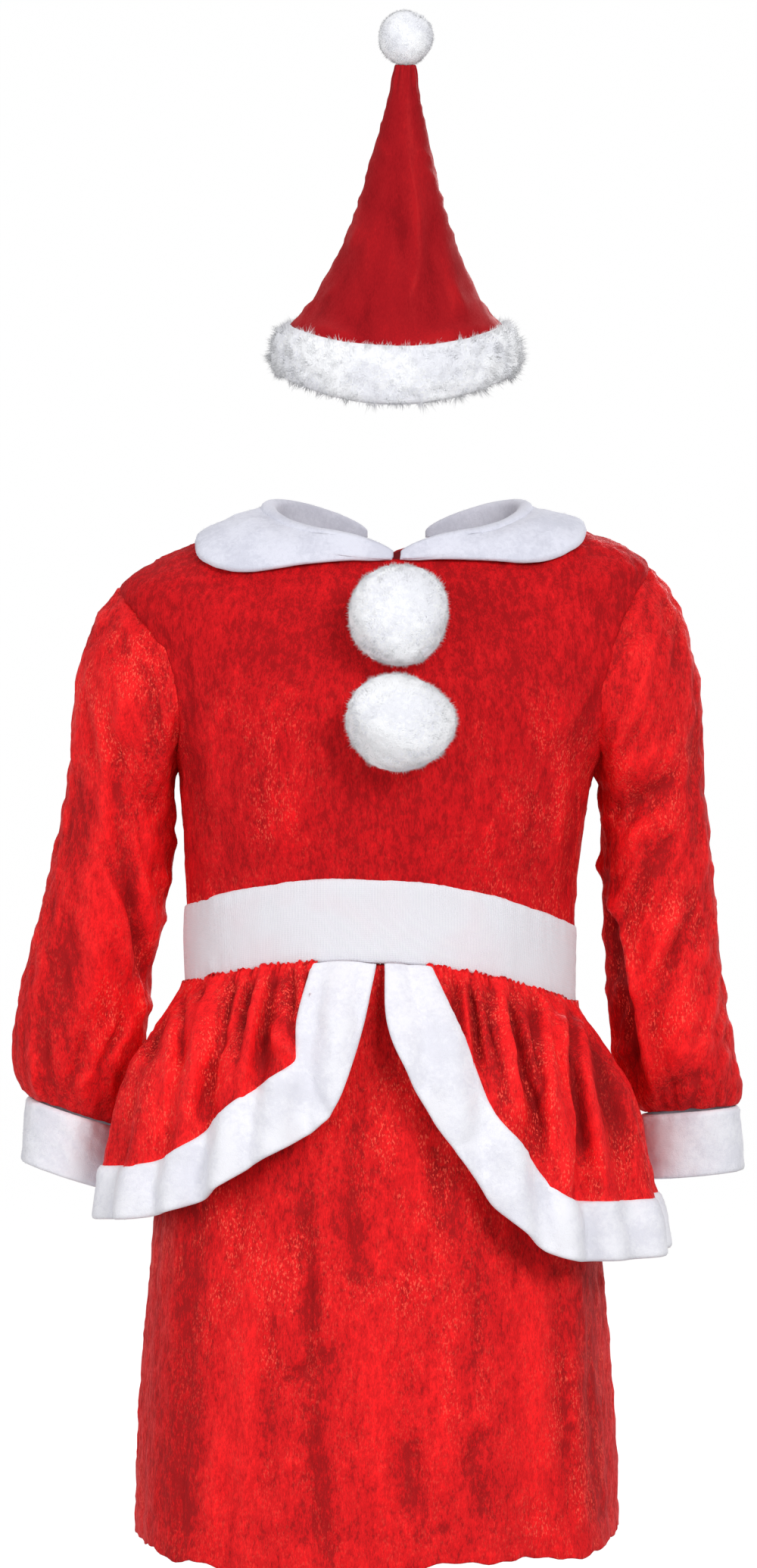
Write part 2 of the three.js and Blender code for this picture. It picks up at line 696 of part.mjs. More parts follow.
const hatTip = hatPoint(0, HAT_TOP).add(hatPoint(180, HAT_TOP)).multiplyScalar(0.5);
const hatUp = new THREE.Vector3(0, -Math.sin(HAT_LEAN), Math.cos(HAT_LEAN));
addPiece(hat, "hat_pompom", pompomGeometry(
  hatTip.addScaledVector(hatUp, HAT_POMPOM_REACH * 0.97), { reach: HAT_POMPOM_REACH, tall: 1 }, hatUp, 1,
), plush);

const group = new THREE.Group();
group.add(dress, hat);
export default group;
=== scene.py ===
import bpy
import numpy as np
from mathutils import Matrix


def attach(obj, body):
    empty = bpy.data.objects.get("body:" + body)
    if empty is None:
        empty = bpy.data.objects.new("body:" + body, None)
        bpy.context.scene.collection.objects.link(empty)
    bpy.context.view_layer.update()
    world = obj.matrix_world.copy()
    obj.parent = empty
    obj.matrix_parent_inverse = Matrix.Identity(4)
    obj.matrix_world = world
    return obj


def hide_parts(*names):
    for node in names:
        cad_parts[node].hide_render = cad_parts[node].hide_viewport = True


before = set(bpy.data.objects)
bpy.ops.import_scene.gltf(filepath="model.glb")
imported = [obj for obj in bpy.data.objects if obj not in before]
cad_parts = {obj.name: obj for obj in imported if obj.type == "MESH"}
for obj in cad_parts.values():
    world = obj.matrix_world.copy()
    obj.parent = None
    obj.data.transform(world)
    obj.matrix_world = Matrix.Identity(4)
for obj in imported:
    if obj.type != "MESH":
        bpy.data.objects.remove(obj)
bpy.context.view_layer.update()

# Bodice: a front and two back halves of crushed stretch velour, joined at the side seams and round the
# armholes. The back halves meet at the centre back and open as a narrow V at the neck. The cloth's right
# side has a pressed, blotchy pile with a sparkle; its wrong side is a plain matt knit.
MM = 0.001
VELOUR = 1.6
SEAM_ANGLE = 0.01
RING_WAIST, RING_UNDERARM, RING_SHOULDER, RING_NECK = 1, 4, 10, 13
BODICE_FOOT = 0.94
BODY_SQUARENESS = 0.88


def columns_of(names, rows):
    """A table as one array of values for each named column."""
    return dict(zip(names.split(), np.array(rows, float).T))


BODY = columns_of("ring middle half front back side frontZ backZ slant armhole", [
    [0, -8, 94.5, 77, 71, -230, -213, -229, -5, 0],
    [1, -8, 94.5, 76, 70, -191, -173, -190, -5, 0],
    [2, -7, 96.5, 79, 73, -160, -150, -158, -2, 0],
    [3, -6, 99, 81, 76, -137, -129, -134, 0, 0],
    [4, -5, 101.5, 80, 78, -122, -112, -116, 0, 0],
    [5, -4, 108, 78, 79, -109, -98, -101, 0, 19],
    [6, -3, 115, 75, 79, -94, -84, -85, 0.5, 28],
    [7, -3, 121, 70, 77, -76, -70, -68, 1.5, 31],
    [8, -4, 126, 65, 73, -57, -57, -52, 3, 29],
    [9, -6, 129, 60, 68, -39, -47, -39, 4, 20],
    [10, -6, 128, 56, 62, -25, -39, -29, 5, 0],
    [11, -4, 112, 53, 55, -14, -32, -20, 4, 0],
    [12, -2, 88, 49, 49, -5, -25, -12, 2, 0],
    [13, 0, 62, 45, 44, 0, -19, -6, 0, 0],
])
LOWEST_RING = {name: column[0] for name, column in BODY.items()}
BACK_OPENING = columns_of("ring half", [[12.1, 0.04], [12.5, 5], [13, 11]])


def cubic(t, start, end, leaving, arriving):
    """A cubic from start to end while t goes from 0 to 1, with its slopes at both."""
    return ((2 * t**3 - 3 * t**2 + 1) * start + (t**3 - 2 * t**2 + t) * leaving
            + (3 * t**2 - 2 * t**3) * end + (t**3 - t**2) * arriving)


def row_at(table, key, at):
    """Every column of a table at values of its key: a cubic between two rows, whose slope at a row is that
    of the chord between the rows before and after it."""
    knots = table[key]
    i = np.clip(np.searchsorted(knots, at) - 1, 0, len(knots) - 2)
    before, after = np.maximum(i - 1, 0), np.minimum(i + 2, len(knots) - 1)
    span = knots[i + 1] - knots[i]
    t = np.clip((at - knots[i]) / span, 0, 1)
    found = {}
    for name, v in table.items():
        slope_from = (v[i + 1] - v[before]) / (knots[i + 1] - knots[before])
        slope_to = (v[after] - v[i]) / (knots[after] - knots[i])
        found[name] = cubic(t, v[i], v[i + 1], span * slope_from, span * slope_to)
    return found


def oval_point(angle, row, z, squareness):
    """Point at a plan angle on an oval with its own depth in front and behind: x goes with the sine and y
    with the cosine, each raised to a power below 1, which squares the oval a little."""
    sine, cosine = np.sin(np.radians(angle)), np.cos(np.radians(angle))
    x = row["middle"] + row["half"] * np.sign(sine) * np.abs(sine) ** squareness
    y = -np.where(cosine >= 0, row["front"], row["back"]) * np.sign(cosine) * np.abs(cosine) ** squareness
    return np.stack(np.broadcast_arrays(x, y, z), axis=-1)


def ring_height(angle, row):
    """Height of a ring at a plan angle: its side height, blended with the square of the cosine into its
    height at the front or the back, and slanted with the sine."""
    sine, cosine = np.sin(np.radians(angle)), np.cos(np.radians(angle))
    middle = np.where(cosine >= 0, row["frontZ"], row["backZ"])
    return row["side"] + (middle - row["side"]) * cosine**2 + row["slant"] * sine


def body_surface(angle, ring):
    """Point of the body's surface: the oval of the ring at that plan angle, at the ring's height there."""
    row = row_at(BODY, "ring", ring)
    return oval_point(angle, row, ring_height(angle, row), BODY_SQUARENESS)


def unit(vectors):
    """Vectors divided by their lengths."""
    return vectors / np.maximum(np.linalg.norm(vectors, axis=-1, keepdims=True), 1e-9)


def normals_of(points, tube=False):
    """Unit normal at each point of a grid: the cross product of the steps to its neighbours along the two
    parameters. A tube's last column is next to its first."""
    wide = np.concatenate([points[-1:], points, points[:1]]) if tube else points
    normal = np.cross(np.gradient(wide, axis=0), np.gradient(wide, axis=1))
    return unit(normal[1:-1] if tube else normal)


def ramp(value, low, high):
    """0 below low and 1 above high, with a smooth rise between them."""
    share = np.clip((value - low) / (high - low), 0, 1)
    return share * share * (3 - 2 * share)


def ripples(points, wave, seed, stretch=(1, 1, 1)):
    """Unevenness of about -1 to 1: the sum of 20 sine waves, each about wave long, which run through space
    in random directions. stretch draws them out along an axis."""
    rng = np.random.default_rng(seed)
    directions = unit(rng.normal(size=(20, 3))) * (2 * np.pi / wave) * rng.uniform(0.6, 1.5, (20, 1))
    phases = rng.uniform(0, 2 * np.pi, 20)
    return np.sin(points / np.array(stretch) @ directions.T + phases).sum(axis=-1) / np.sqrt(20)


def creases(x, z, rows):
    """Height of a set of soft folds at places seen from the front or the back. Each runs from (x0, z0) to
    (x1, z1), bowed sideways as a parabola. Its section is a bell with a narrow top, the exponential of
    minus the power 1.5 of the distance over the width, and it fades in and out along its run."""
    height = np.zeros(np.broadcast(x, z).shape)
    for x0, z0, x1, z1, bow, width, depth in rows:
        run = np.hypot(x1 - x0, z1 - z0)
        along = np.clip(((x - x0) * (x1 - x0) + (z - z0) * (z1 - z0)) / run**2, 0, 1)
        aside = ((x - x0) * (z1 - z0) - (z - z0) * (x1 - x0)) / run - 4 * bow * along * (1 - along)
        height += depth * np.exp(-np.abs(aside / width) ** 1.5) * np.sin(np.pi * along) ** 0.7
    return height


def spread(count, length, edge, tube=False):
    """Parameters from 0 to 1: evenly spaced, with three more close to each end, where the edge rounds."""
    if tube:
        return np.arange(count) / count
    near = np.array([0, 0.12, 0.45]) * edge / length
    return np.concatenate([near, np.linspace(edge / length, 1 - edge / length, count - 6), 1 - near[::-1]])


def front_and_back(points, front, back, low, high):
    """Folds of one table in front and of another behind, which fade in with the distance from the sides."""
    x, y, z = points[..., 0], points[..., 1], points[..., 2]
    return creases(x, z, front) * ramp(-y, low, high) + creases(x, z, back) * ramp(y, low, high)


def run_along(points, axis):
    """Length along the surface of a grid of points, from its first ones, in the direction of an axis."""
    steps = np.linalg.norm(np.diff(points, axis=axis), axis=-1)
    return np.concatenate([np.zeros_like(np.take(steps, [0], axis)), np.cumsum(steps, axis)], axis)


def fullness_at(share, least):
    """Share of a sheet's thickness at a share of the way in from its edge: the quarter of a circle."""
    return np.sqrt(np.maximum(1 - (1 - np.clip(share, 0, 1)) ** 2, least))


def cloth_wall(place, columns, rows, thick, proud=0.0, relief=None, tube=False, side=1, sewn=""):
    """Outer and inner face of a cloth wall on the surface place(s, t), and its lengths along s and t.
    The wall is moved out by proud and by relief(points, s, t). Its thickness falls to nothing at every edge
    as the quarter of an ellipse. At a sewn edge, named s0, s1, t0 or t1, it dips and puckers."""
    rough = place(*np.meshgrid(np.linspace(0, 1, 9), np.linspace(0, 1, 9), indexing="ij"))
    length_s, length_t = run_along(rough, 0)[-1].mean(), run_along(rough, 1)[:, -1].mean()
    edge = 0.6 * thick
    s, t = np.meshgrid(spread(columns, length_s, edge, tube), spread(rows, length_t, edge), indexing="ij")
    points = place(s, t)
    normal = normals_of(points, tube) * side
    run_s, run_t = run_along(points, 0), run_along(points, 1)
    away = {"t0": run_t, "t1": run_t[:, -1:] - run_t}
    if not tube:
        away |= {"s0": run_s, "s1": run_s[-1:] - run_s}
    fullness = fullness_at(np.min(list(away.values()), axis=0) / edge, 0.01)
    offset = np.full(s.shape, float(proud))
    for name in sewn.split():
        seam, run = away[name], run_s if name[0] == "t" else run_t
        offset -= 0.55 * np.exp(-((seam / 1.5) ** 2))
        puckers = np.sin(run / 1.25 + 1.7 * np.sin(run / 5.3))
        offset += 0.28 * np.exp(-seam / 5) * puckers * ramp(seam, 0, 1.5)
    if relief is not None:
        offset += relief(points, s, t)
    middle = points + normal * (offset - thick / 2)[..., None]
    half = normal * (thick / 2 * fullness)[..., None]
    return middle + half, middle - half, run_s, run_t, offset - proud


def mesh_of(name, points, polygons, uvs=None, materials=()):
    """A mesh from points in mm and a list of (corner index array, material number), smooth all over.
    uvs holds an array of corner coordinates in metres for each of the arrays."""
    mesh = bpy.data.meshes.new(name)
    corners = np.concatenate([faces.ravel() for faces, _ in polygons])
    counts = np.concatenate([np.full(len(faces), faces.shape[1]) for faces, _ in polygons])
    numbers = np.concatenate([np.full(len(faces), number) for faces, number in polygons])
    mesh.vertices.add(len(points))
    mesh.vertices.foreach_set("co", (points * MM).astype(np.float32).ravel())
    mesh.loops.add(len(corners))
    mesh.loops.foreach_set("vertex_index", corners.astype(np.int32))
    mesh.polygons.add(len(counts))
    mesh.polygons.foreach_set("loop_start", (np.cumsum(counts) - counts).astype(np.int32))
    for material in materials:
        mesh.materials.append(material)
    mesh.polygons.foreach_set("material_index", numbers.astype(np.int32))
    mesh.polygons.foreach_set("use_smooth", np.ones(len(counts), bool))
    if uvs is not None:
        layer = mesh.uv_layers.new(name="cloth")
        places = np.concatenate([uv.reshape(-1, 2) for uv in uvs])
        layer.uv.foreach_set("vector", places.astype(np.float32).ravel())
    mesh.update(calc_edges=True)
    piece = bpy.data.objects.new(name, mesh)
    bpy.context.scene.collection.objects.link(piece)
    return piece


def cells(columns, rows):
    """Column and row number of each cell of a grid."""
    i, j = np.meshgrid(np.arange(columns), np.arange(rows), indexing="ij")
    return i.ravel(), j.ravel()


def wall_faces(columns, rows, tube=False, flip=False):
    """Quads of a closed wall whose outer and inner points are two grids, one after the other: the outer
    face with the four edges, and the inner face. Beside each, the grid places of its corners."""
    spans = columns if tube else columns - 1
    i, j = cells(spans, rows - 1)
    k, m = np.arange(spans), np.arange(rows - 1)

    def quads(*corners):
        return np.stack([np.stack(np.broadcast_arrays(*corner), axis=-1) for corner in corners], axis=1)

    outer = [quads((0, i, j), (0, i + 1, j), (0, i + 1, j + 1), (0, i, j + 1)),
             quads((1, k, 0), (1, k + 1, 0), (0, k + 1, 0), (0, k, 0)),
             quads((0, k, rows - 1), (0, k + 1, rows - 1), (1, k + 1, rows - 1), (1, k, rows - 1))]
    if not tube:
        outer += [quads((1, 0, m), (0, 0, m), (0, 0, m + 1), (1, 0, m + 1)),
                  quads((0, spans, m), (1, spans, m), (1, spans, m + 1), (0, spans, m + 1))]
    inner = quads((1, i, j), (1, i, j + 1), (1, i + 1, j + 1), (1, i + 1, j))
    faces = [np.concatenate(outer), inner]
    if flip:
        faces = [part[:, ::-1] for part in faces]
    index = [part[..., 0] * columns * rows + part[..., 1] % columns * rows + part[..., 2] for part in faces]
    return index, faces


def cloth_piece(name, wall, materials, tube=False, side=1):
    """A piece of cloth from its wall: right side and edges in the first material, wrong side in the second.
    Its UV map is the length along the cloth in metres, and its attribute "fold" the height of its folds."""
    outer, inner, run_s, run_t, fold = wall
    columns, rows = outer.shape[:2]
    index, places = wall_faces(columns, rows, tube, side < 0)
    if tube:
        girth = run_s[-1:] + np.linalg.norm(outer[:1] - outer[-1:], axis=-1)
        run_s, run_t = np.concatenate([run_s, girth]), np.concatenate([run_t, run_t[:1]])
    uvs = [np.stack([run[p[..., 1], p[..., 2]] for run in (run_s, run_t)], axis=-1) * MM for p in places]
    points = np.concatenate([outer.reshape(-1, 3), inner.reshape(-1, 3)])
    piece = mesh_of(name, points, [(index[0], 0), (index[1], len(materials) - 1)], uvs, materials)
    heights = piece.data.attributes.new("fold", "FLOAT", "POINT")
    heights.data.foreach_set("value", np.tile(fold.ravel(), 2).astype(np.float32))
    return piece


def feed(tree, node, values):
    """Give inputs of a node, by name or number, a value or a socket."""
    for name, value in values.items():
        if isinstance(value, bpy.types.NodeSocket):
            tree.links.new(value, node.inputs[name])
        else:
            node.inputs[name].default_value = value


def add_node(tree, kind, values=None, **settings):
    """A shader node with its settings and inputs."""
    made = tree.nodes.new("ShaderNode" + kind)
    for name, value in settings.items():
        setattr(made, name, value)
    feed(tree, made, values or {})
    return made


def new_group(name, inputs, outputs):
    """An empty shader node group with named sockets, the sockets it is given, and its output node."""
    tree = bpy.data.node_groups.new(name, "ShaderNodeTree")
    for label, kind, value in inputs:
        socket = tree.interface.new_socket(label, in_out="INPUT", socket_type="NodeSocket" + kind)
        if value is not None:
            socket.default_value = value
    for label, kind in outputs:
        tree.interface.new_socket(label, in_out="OUTPUT", socket_type="NodeSocket" + kind)
    return tree, tree.nodes.new("NodeGroupInput").outputs, tree.nodes.new("NodeGroupOutput")


def new_material(name):
    """A material with an empty tree, its shader node and its output."""
    material = bpy.data.materials.new(name)
    material.use_nodes = True
    tree = material.node_tree
    tree.nodes.clear()
    shader = add_node(tree, "BsdfPrincipled")
    add_node(tree, "OutputMaterial", {"Surface": shader.outputs["BSDF"]})
    return material, tree, shader


def noise(tree, vector, scale, detail=2.0, roughness=0.5, distortion=0.0):
    """Value of a noise texture."""
    return add_node(tree, "TexNoise", {"Vector": vector, "Scale": scale, "Detail": detail,
                                       "Roughness": roughness, "Distortion": distortion}).outputs["Fac"]


def scaled(tree, vector, scale):
    """A vector with each part scaled."""
    return add_node(tree, "VectorMath", {0: vector, 1: scale}, operation="MULTIPLY").outputs["Vector"]


def maths(tree, operation, first, second=0.0):
    """Result of a Math node."""
    return add_node(tree, "Math", {0: first, 1: second}, operation=operation).outputs[0]


def weighted(tree, parts, total=0.0):
    """A sum of values, each times its share."""
    for part, share in parts:
        total = maths(tree, "ADD", maths(tree, "MULTIPLY", part, share), total)
    return total


def span_of(tree, value, low, high, to_low=0.0, to_high=1.0):
    """A value mapped smoothly from one range to another."""
    return add_node(tree, "MapRange", {"Value": value, "From Min": low, "From Max": high,
                                       "To Min": to_low, "To Max": to_high},
                    interpolation_type="SMOOTHSTEP").outputs["Result"]


def mixed(tree, factor, first, second):
    """A colour between two, given as colours or sockets."""
    first, second = (colour if isinstance(colour, bpy.types.NodeSocket) else (*colour, 1)
                     for colour in (first, second))
    return add_node(tree, "Mix", {0: factor, 6: first, 7: second}, data_type="RGBA").outputs[2]


def bumped(tree, height, strength, depth):
    """Normals of a relief of that depth in metres."""
    values = {"Height": height, "Strength": strength, "Distance": depth}
    return add_node(tree, "Bump", values).outputs["Normal"]


# Pressed pile: broad patches, blotches drawn out along the fall of the cloth, and short dashes of sparkle,
# which mark where glints are painted in as lighter colour
nap, given, result = new_group("pressed_nap", [("Vector", "Vector", None), ("Blotches", "Float", 260.0),
                                               ("Contrast", "Float", 1.0), ("Sparkle", "Float", 0.5)],
                               [("Shade", "Float"), ("Glint", "Float"), ("Height", "Float")])
fall = scaled(nap, given["Vector"], (1, 1, 0.42))
patch = noise(nap, given["Vector"], 15.0, 1.0, 0.5)
cloud = noise(nap, fall, 95.0, 2.0, 0.5, 0.15)
blotch = noise(nap, fall, given["Blotches"], 3.0, 0.65, 0.2)
grain = noise(nap, scaled(nap, given["Vector"], (1, 1, 0.33)), 1500.0, 2.0, 0.6)
dashes = noise(nap, scaled(nap, given["Vector"], (1, 1, 0.45)), 1250.0, 1.0, 0.5)
parts = [(patch, 0.24), (cloud, 0.26), (blotch, 1.0), (grain, 0.8)]
total = weighted(nap, parts, -0.5 * sum(share for _, share in parts))
broadly = span_of(nap, patch, 0.40, 0.58, 0.25, 1.0)
lit_spots = maths(nap, "MULTIPLY", span_of(nap, dashes, 0.54, 0.70), broadly)
lit_patches = maths(nap, "MULTIPLY", span_of(nap, cloud, 0.38, 0.60), given["Sparkle"])
feed(nap, result, {"Shade": weighted(nap, [(total, given["Contrast"])], 0.5),
                   "Glint": maths(nap, "MULTIPLY", lit_spots, lit_patches),
                   "Height": weighted(nap, [(blotch, 0.45), (grain, 0.55)])})


def velour_material(name, reds, blotches, contrast, sparkle, depth, sheen, shine=0.2, pressed=None):
    """Crushed velour: three reds by the shade of the pile; lighter dashes painted in as glints where it
    would catch light; painted shade in the troughs of the folds and painted light on their ridges; a darker
    red painted as shade deep down in the folds; a roughness that follows the shade, and a red sheen.
    pressed(tree, place) gives a mask of where the pile lies flat, dark and without the painted glints."""
    dark, middle, light = reds
    material, tree, shader = new_material(name)
    place = add_node(tree, "TexCoord").outputs["Object"]
    pile = add_node(tree, "Group", node_tree=nap)
    feed(tree, pile, {"Vector": place, "Blotches": blotches, "Contrast": contrast, "Sparkle": sparkle})
    fold = add_node(tree, "Attribute", attribute_name="fold").outputs["Fac"]
    # Painted shade in the folds' troughs and painted light on their ridges: the fold height darkens or
    # lightens the pile's shade
    shade = maths(tree, "ADD", pile.outputs["Shade"], span_of(tree, fold, -2.6, 2.6, -0.18, 0.15))
    glint = pile.outputs["Glint"]
    if pressed is not None:
        flat = pressed(tree, place)
        shade = maths(tree, "SUBTRACT", shade, maths(tree, "MULTIPLY", flat, 0.10))
        glint = maths(tree, "MULTIPLY", glint, maths(tree, "SUBTRACT", 1.0, flat))
    low = mixed(tree, span_of(tree, shade, 0.24, 0.50), dark, middle)
    colour = mixed(tree, span_of(tree, shade, 0.48, 0.74), low, light)
    # Painted shade: a near-black red mixed into the deepest folds
    fold_shaded = mixed(tree, span_of(tree, fold, -7.0, -2.4, 0.4, 1.0), FOLD_SHADE_RED, colour)
    # Painted glints: the base colour turns lighter orange-red in the sparkle's dashes
    feed(tree, shader, {"Base Color": mixed(tree, glint, fold_shaded, PAINTED_GLINT_RED),
                        "Roughness": span_of(tree, shade, 0.38, 0.62, 0.72, 0.48),
                        "Normal": bumped(tree, pile.outputs["Height"], 1.0, depth),
                        "Sheen Weight": sheen, "Sheen Roughness": 0.4, "Sheen Tint": (1.0, 0.05, 0.05, 1),
                        "Specular IOR Level": shine, "Specular Tint": (1.0, 0.2, 0.16, 1)})
    return material


def chest_pressed(tree, place):
    """The upper and the middle chest, as a mask from the height and the distance from the centre."""
    parts = add_node(tree, "SeparateXYZ", {0: place}).outputs
    upper = span_of(tree, parts["Z"], -0.125, -0.065)
    aside = maths(tree, "ABSOLUTE", maths(tree, "ADD", parts["X"], 0.006))
    return maths(tree, "MAXIMUM", upper, span_of(tree, aside, 0.028, 0.065, 0.8, 0.0))


# Painted colours: a near-black red for shade deep in the folds, and a light orange-red for glints of the
# pile
FOLD_SHADE_RED, PAINTED_GLINT_RED = (0.15, 0.004, 0.006), (1.0, 0.10, 0.065)
BODICE_REDS = ((0.36, 0.007, 0.010), (0.60, 0.009, 0.013), (0.88, 0.011, 0.016))
velour = velour_material("crushed_velour", BODICE_REDS, blotches=380.0, contrast=0.8, sparkle=0.9,
                         depth=0.0006, sheen=0.1, pressed=chest_pressed)

# The wrong side of the velour: a fine plain knit
wrong_side, tree, shader = new_material("velour_wrong_side")
place = add_node(tree, "TexCoord").outputs["UV"]
knit = add_node(tree, "TexWave", {"Vector": place, "Scale": 420.0, "Distortion": 1.5, "Detail": 1.0},
                wave_type="BANDS", bands_direction="X").outputs["Fac"]
# Two reds by the knit's rows, darker between them: painted shade in the grooves
feed(tree, shader, {"Base Color": mixed(tree, knit, (0.36, 0.008, 0.013), (0.46, 0.011, 0.017)),
                    "Normal": bumped(tree, knit, 0.5, 0.0002), "Roughness": 0.9, "Sheen Weight": 0.2})
BODICE_SIDES = (velour, wrong_side)

# Folds, here and below: x and z of one end, x and z of the other, sideways bow, width and depth. All the
# depths of a table are multiplied by its garment part's factor.
BODICE_FOLD = 1.5
BODICE_FOLDS_FRONT = [
    [-104, -92, -90, -160, 2, 4, -1.3],
    [-88, -86, -82, -150, 2, 5, 1.0],
    [-72, -104, -66, -168, -2, 5, -0.9],
    [-97, -132, -86, -178, 1, 3, 0.8],
    [-80, -140, -76, -182, 1, 3, -0.7],
    [-48, -118, -52, -170, 2, 6, 0.6],
    [104, -76, 84, -118, 3, 5, -1.6],
    [96, -84, 70, -112, 2, 5, 0.9],
    [80, -112, 76, -176, 1, 4, 1.0],
    [90, -124, 83, -184, 2, 3.5, -1.3],
    [66, -130, 61, -180, -2, 4.5, -0.9],
    [48, -126, 44, -172, 1, 5, 0.6],
    [-27, -126, -24, -172, 1, 6, -0.5],
    [24, -122, 20, -172, -1, 6, 0.5],
    [-72, -26, -104, -66, -3, 8, 0.7],
    [70, -26, 98, -62, 3, 8, 0.7],
    [-40, -50, -62, -86, 2, 9, -0.5],
    [46, -50, 66, -90, -2, 9, -0.5],
]
BODICE_FOLDS_BACK = [
    [-100, -90, -84, -164, 3, 5, -1.4],
    [-84, -100, -74, -176, 2, 4, 1.0],
    [-60, -112, -64, -178, -2, 5, -1.0],
    [96, -92, 82, -160, -3, 5, -1.3],
    [78, -104, 70, -178, -1, 5, 1.0],
    [56, -116, 52, -182, 2, 5, -0.9],
    [-32, -60, -14, -120, 4, 9, -0.7],
    [30, -58, 12, -128, -4, 9, -0.6],
    [-20, -120, -24, -178, 1, 6, 0.7],
    [22, -118, 26, -176, -2, 6, 0.6],
    [-80, -30, -60, -80, 5, 9, 0.8],
    [76, -30, 58, -78, -5, 9, 0.8],
]


def crumple(points, seed):
    """The crush of the pile: sums of waves of about 14, 7.5 and 4.5 mm, drawn out downwards."""
    return (0.34 * ripples(points, 14, seed, (1, 1, 2.4)) + 0.3 * ripples(points, 7.5, seed + 1, (1, 1, 1.9))
            + 0.11 * ripples(points, 4.5, seed + 2, (1, 1, 1.6)))


def body_relief(points, s, t):
    """Folds of the front or the back by their place, fading at the sides, over a gentle unevenness that is
    drawn out downwards and grows towards the sides of the body."""
    folds = BODICE_FOLD * front_and_back(points, BODICE_FOLDS_FRONT, BODICE_FOLDS_BACK, 4, 26)
    near_side = 0.45 + 0.55 * ramp(np.abs(points[..., 0]), 40, 90)
    return folds + crumple(points, 3) * near_side


def armhole_at(ring):
    """Half the plan angle left open at each side, with the seam's half width."""
    inside = (ring > RING_UNDERARM) & (ring < RING_SHOULDER)
    return SEAM_ANGLE + np.where(inside, np.maximum(row_at(BODY, "ring", ring)["armhole"], 0), 0)


def back_opening_at(ring):
    """Half the plan angle left open at the centre back."""
    start = BACK_OPENING["ring"][0]
    return np.where(ring < start, BACK_OPENING["half"][0], row_at(BACK_OPENING, "ring", ring)["half"])


def bodice_panel(edge_from, edge_to):
    """The body's surface between two plan angles, each given at a ring, from just inside the waistband to
    the neck."""
    def place(s, t):
        ring = BODICE_FOOT + (RING_NECK - BODICE_FOOT) * t
        start, end = edge_from(ring), edge_to(ring)
        return body_surface(start + (end - start) * s, ring)
    return place


BODICE_PANELS = [
    ("bodice_front", lambda ring: armhole_at(ring) - 90, lambda ring: 90 - armhole_at(ring), 136,
     0.285, 0.049),
    ("bodice_back_right", lambda ring: 90 + armhole_at(ring), lambda ring: 180 - back_opening_at(ring), 74,
     0.15, 0.027),
    ("bodice_back_left", lambda ring: back_opening_at(ring) - 180, lambda ring: -90 - armhole_at(ring), 74,
     0.15, 0.027),
]
BODICE_ROWS = 96
for name, edge_from, edge_to, columns, cut_width, cut_area in BODICE_PANELS:
    wall = cloth_wall(bodice_panel(edge_from, edge_to), columns, BODICE_ROWS, VELOUR, relief=body_relief,
                      sewn="s0 s1 t0")
    piece = cloth_piece("cloth_" + name, wall, BODICE_SIDES)
    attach(piece, "root")
    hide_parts(name)

# Sleeves: tubes of the same velour, set into the armholes and a little wider towards the cuff, where they
# are gathered in. Their pile is less pressed and brighter. Long folds run down and across to the inner edge.
SLEEVE_NAMES = "z middle y half depth tilt"
SLEEVE_LEFT = columns_of(SLEEVE_NAMES, [
    [-288, -158.5, 16, 24, 23, 18],
    [-277, -159, 15, 30, 29, 18],
    [-262, -157, 14, 32, 31.5, 15],
    [-240, -154, 12, 32, 31.5, 12],
    [-210, -149, 9, 30, 30.5, 10],
    [-175, -141, 6, 29, 29.5, 9],
    [-140, -135.4, 4, 27.4, 29, 14],
])
SLEEVE_RIGHT = columns_of(SLEEVE_NAMES, [
    [-287, 144.7, 16, 23.8, 23, 5],
    [-277, 141.5, 15, 28, 29, 6],
    [-262, 137, 14, 29, 31.5, 6],
    [-240, 133, 12, 29, 31.5, 6],
    [-210, 130, 9, 28.2, 30.5, 5],
    [-175, 127.8, 6, 27, 29.5, 5],
    [-140, 125.5, 4, 26.5, 29, 10],
])
SLEEVE_COLUMNS, SLEEVE_ROWS = 104, 112
ARMHOLE_SHARE = 0.3
ARMHOLE_GAP = 0.25
SEAM_ALLOWANCE = 4
ALLOWANCE_SHARE = 0.02
SLEEVE_FOLD = 2.2
SLEEVE_DRAG = {-1: 0.28, 1: -0.45}
SLEEVE_FOLDS_LEFT = [
    [-124, -74, -143, -128, 2, 5, 1.3],
    [-142, -122, -144, -172, -1, 5, 1.4],
    [-144, -164, -126, -218, -3, 4, 1.6],
    [-147, -152, -120, -236, -5, 3, -1.9],
    [-137, -140, -124, -234, -3, 3.5, -1.8],
    [-130, -150, -118, -222, -3, 3.2, 1.4],
    [-133, -78, -132, -112, 1, 3, 0.9],
    [-138, -86, -137, -150, -1, 3.5, -1.2],
    [-152, -166, -146, -242, -2, 7, 1.7],
    [-157, -180, -163, -260, 2, 6, -1.4],
    [-128, -234, -152, -270, -3, 3.5, -1.8],
    [-124, -222, -142, -266, -3, 3, 1.5],
    [-136, -240, -158, -280, -2, 3, 1.4],
    [-150, -242, -162, -284, -1, 2.6, -1.3],
    [-172, -232, -168, -284, 2, 4, -1.4],
    [-178, -246, -174, -286, 1, 3, 1.1],
    [-120, -70, -116, -120, -1, 4, -1.4],
    [-150, -60, -156, -140, 1, 6, 0.8],
    [-152, -110, -158, -172, -1, 5, -0.9],
]
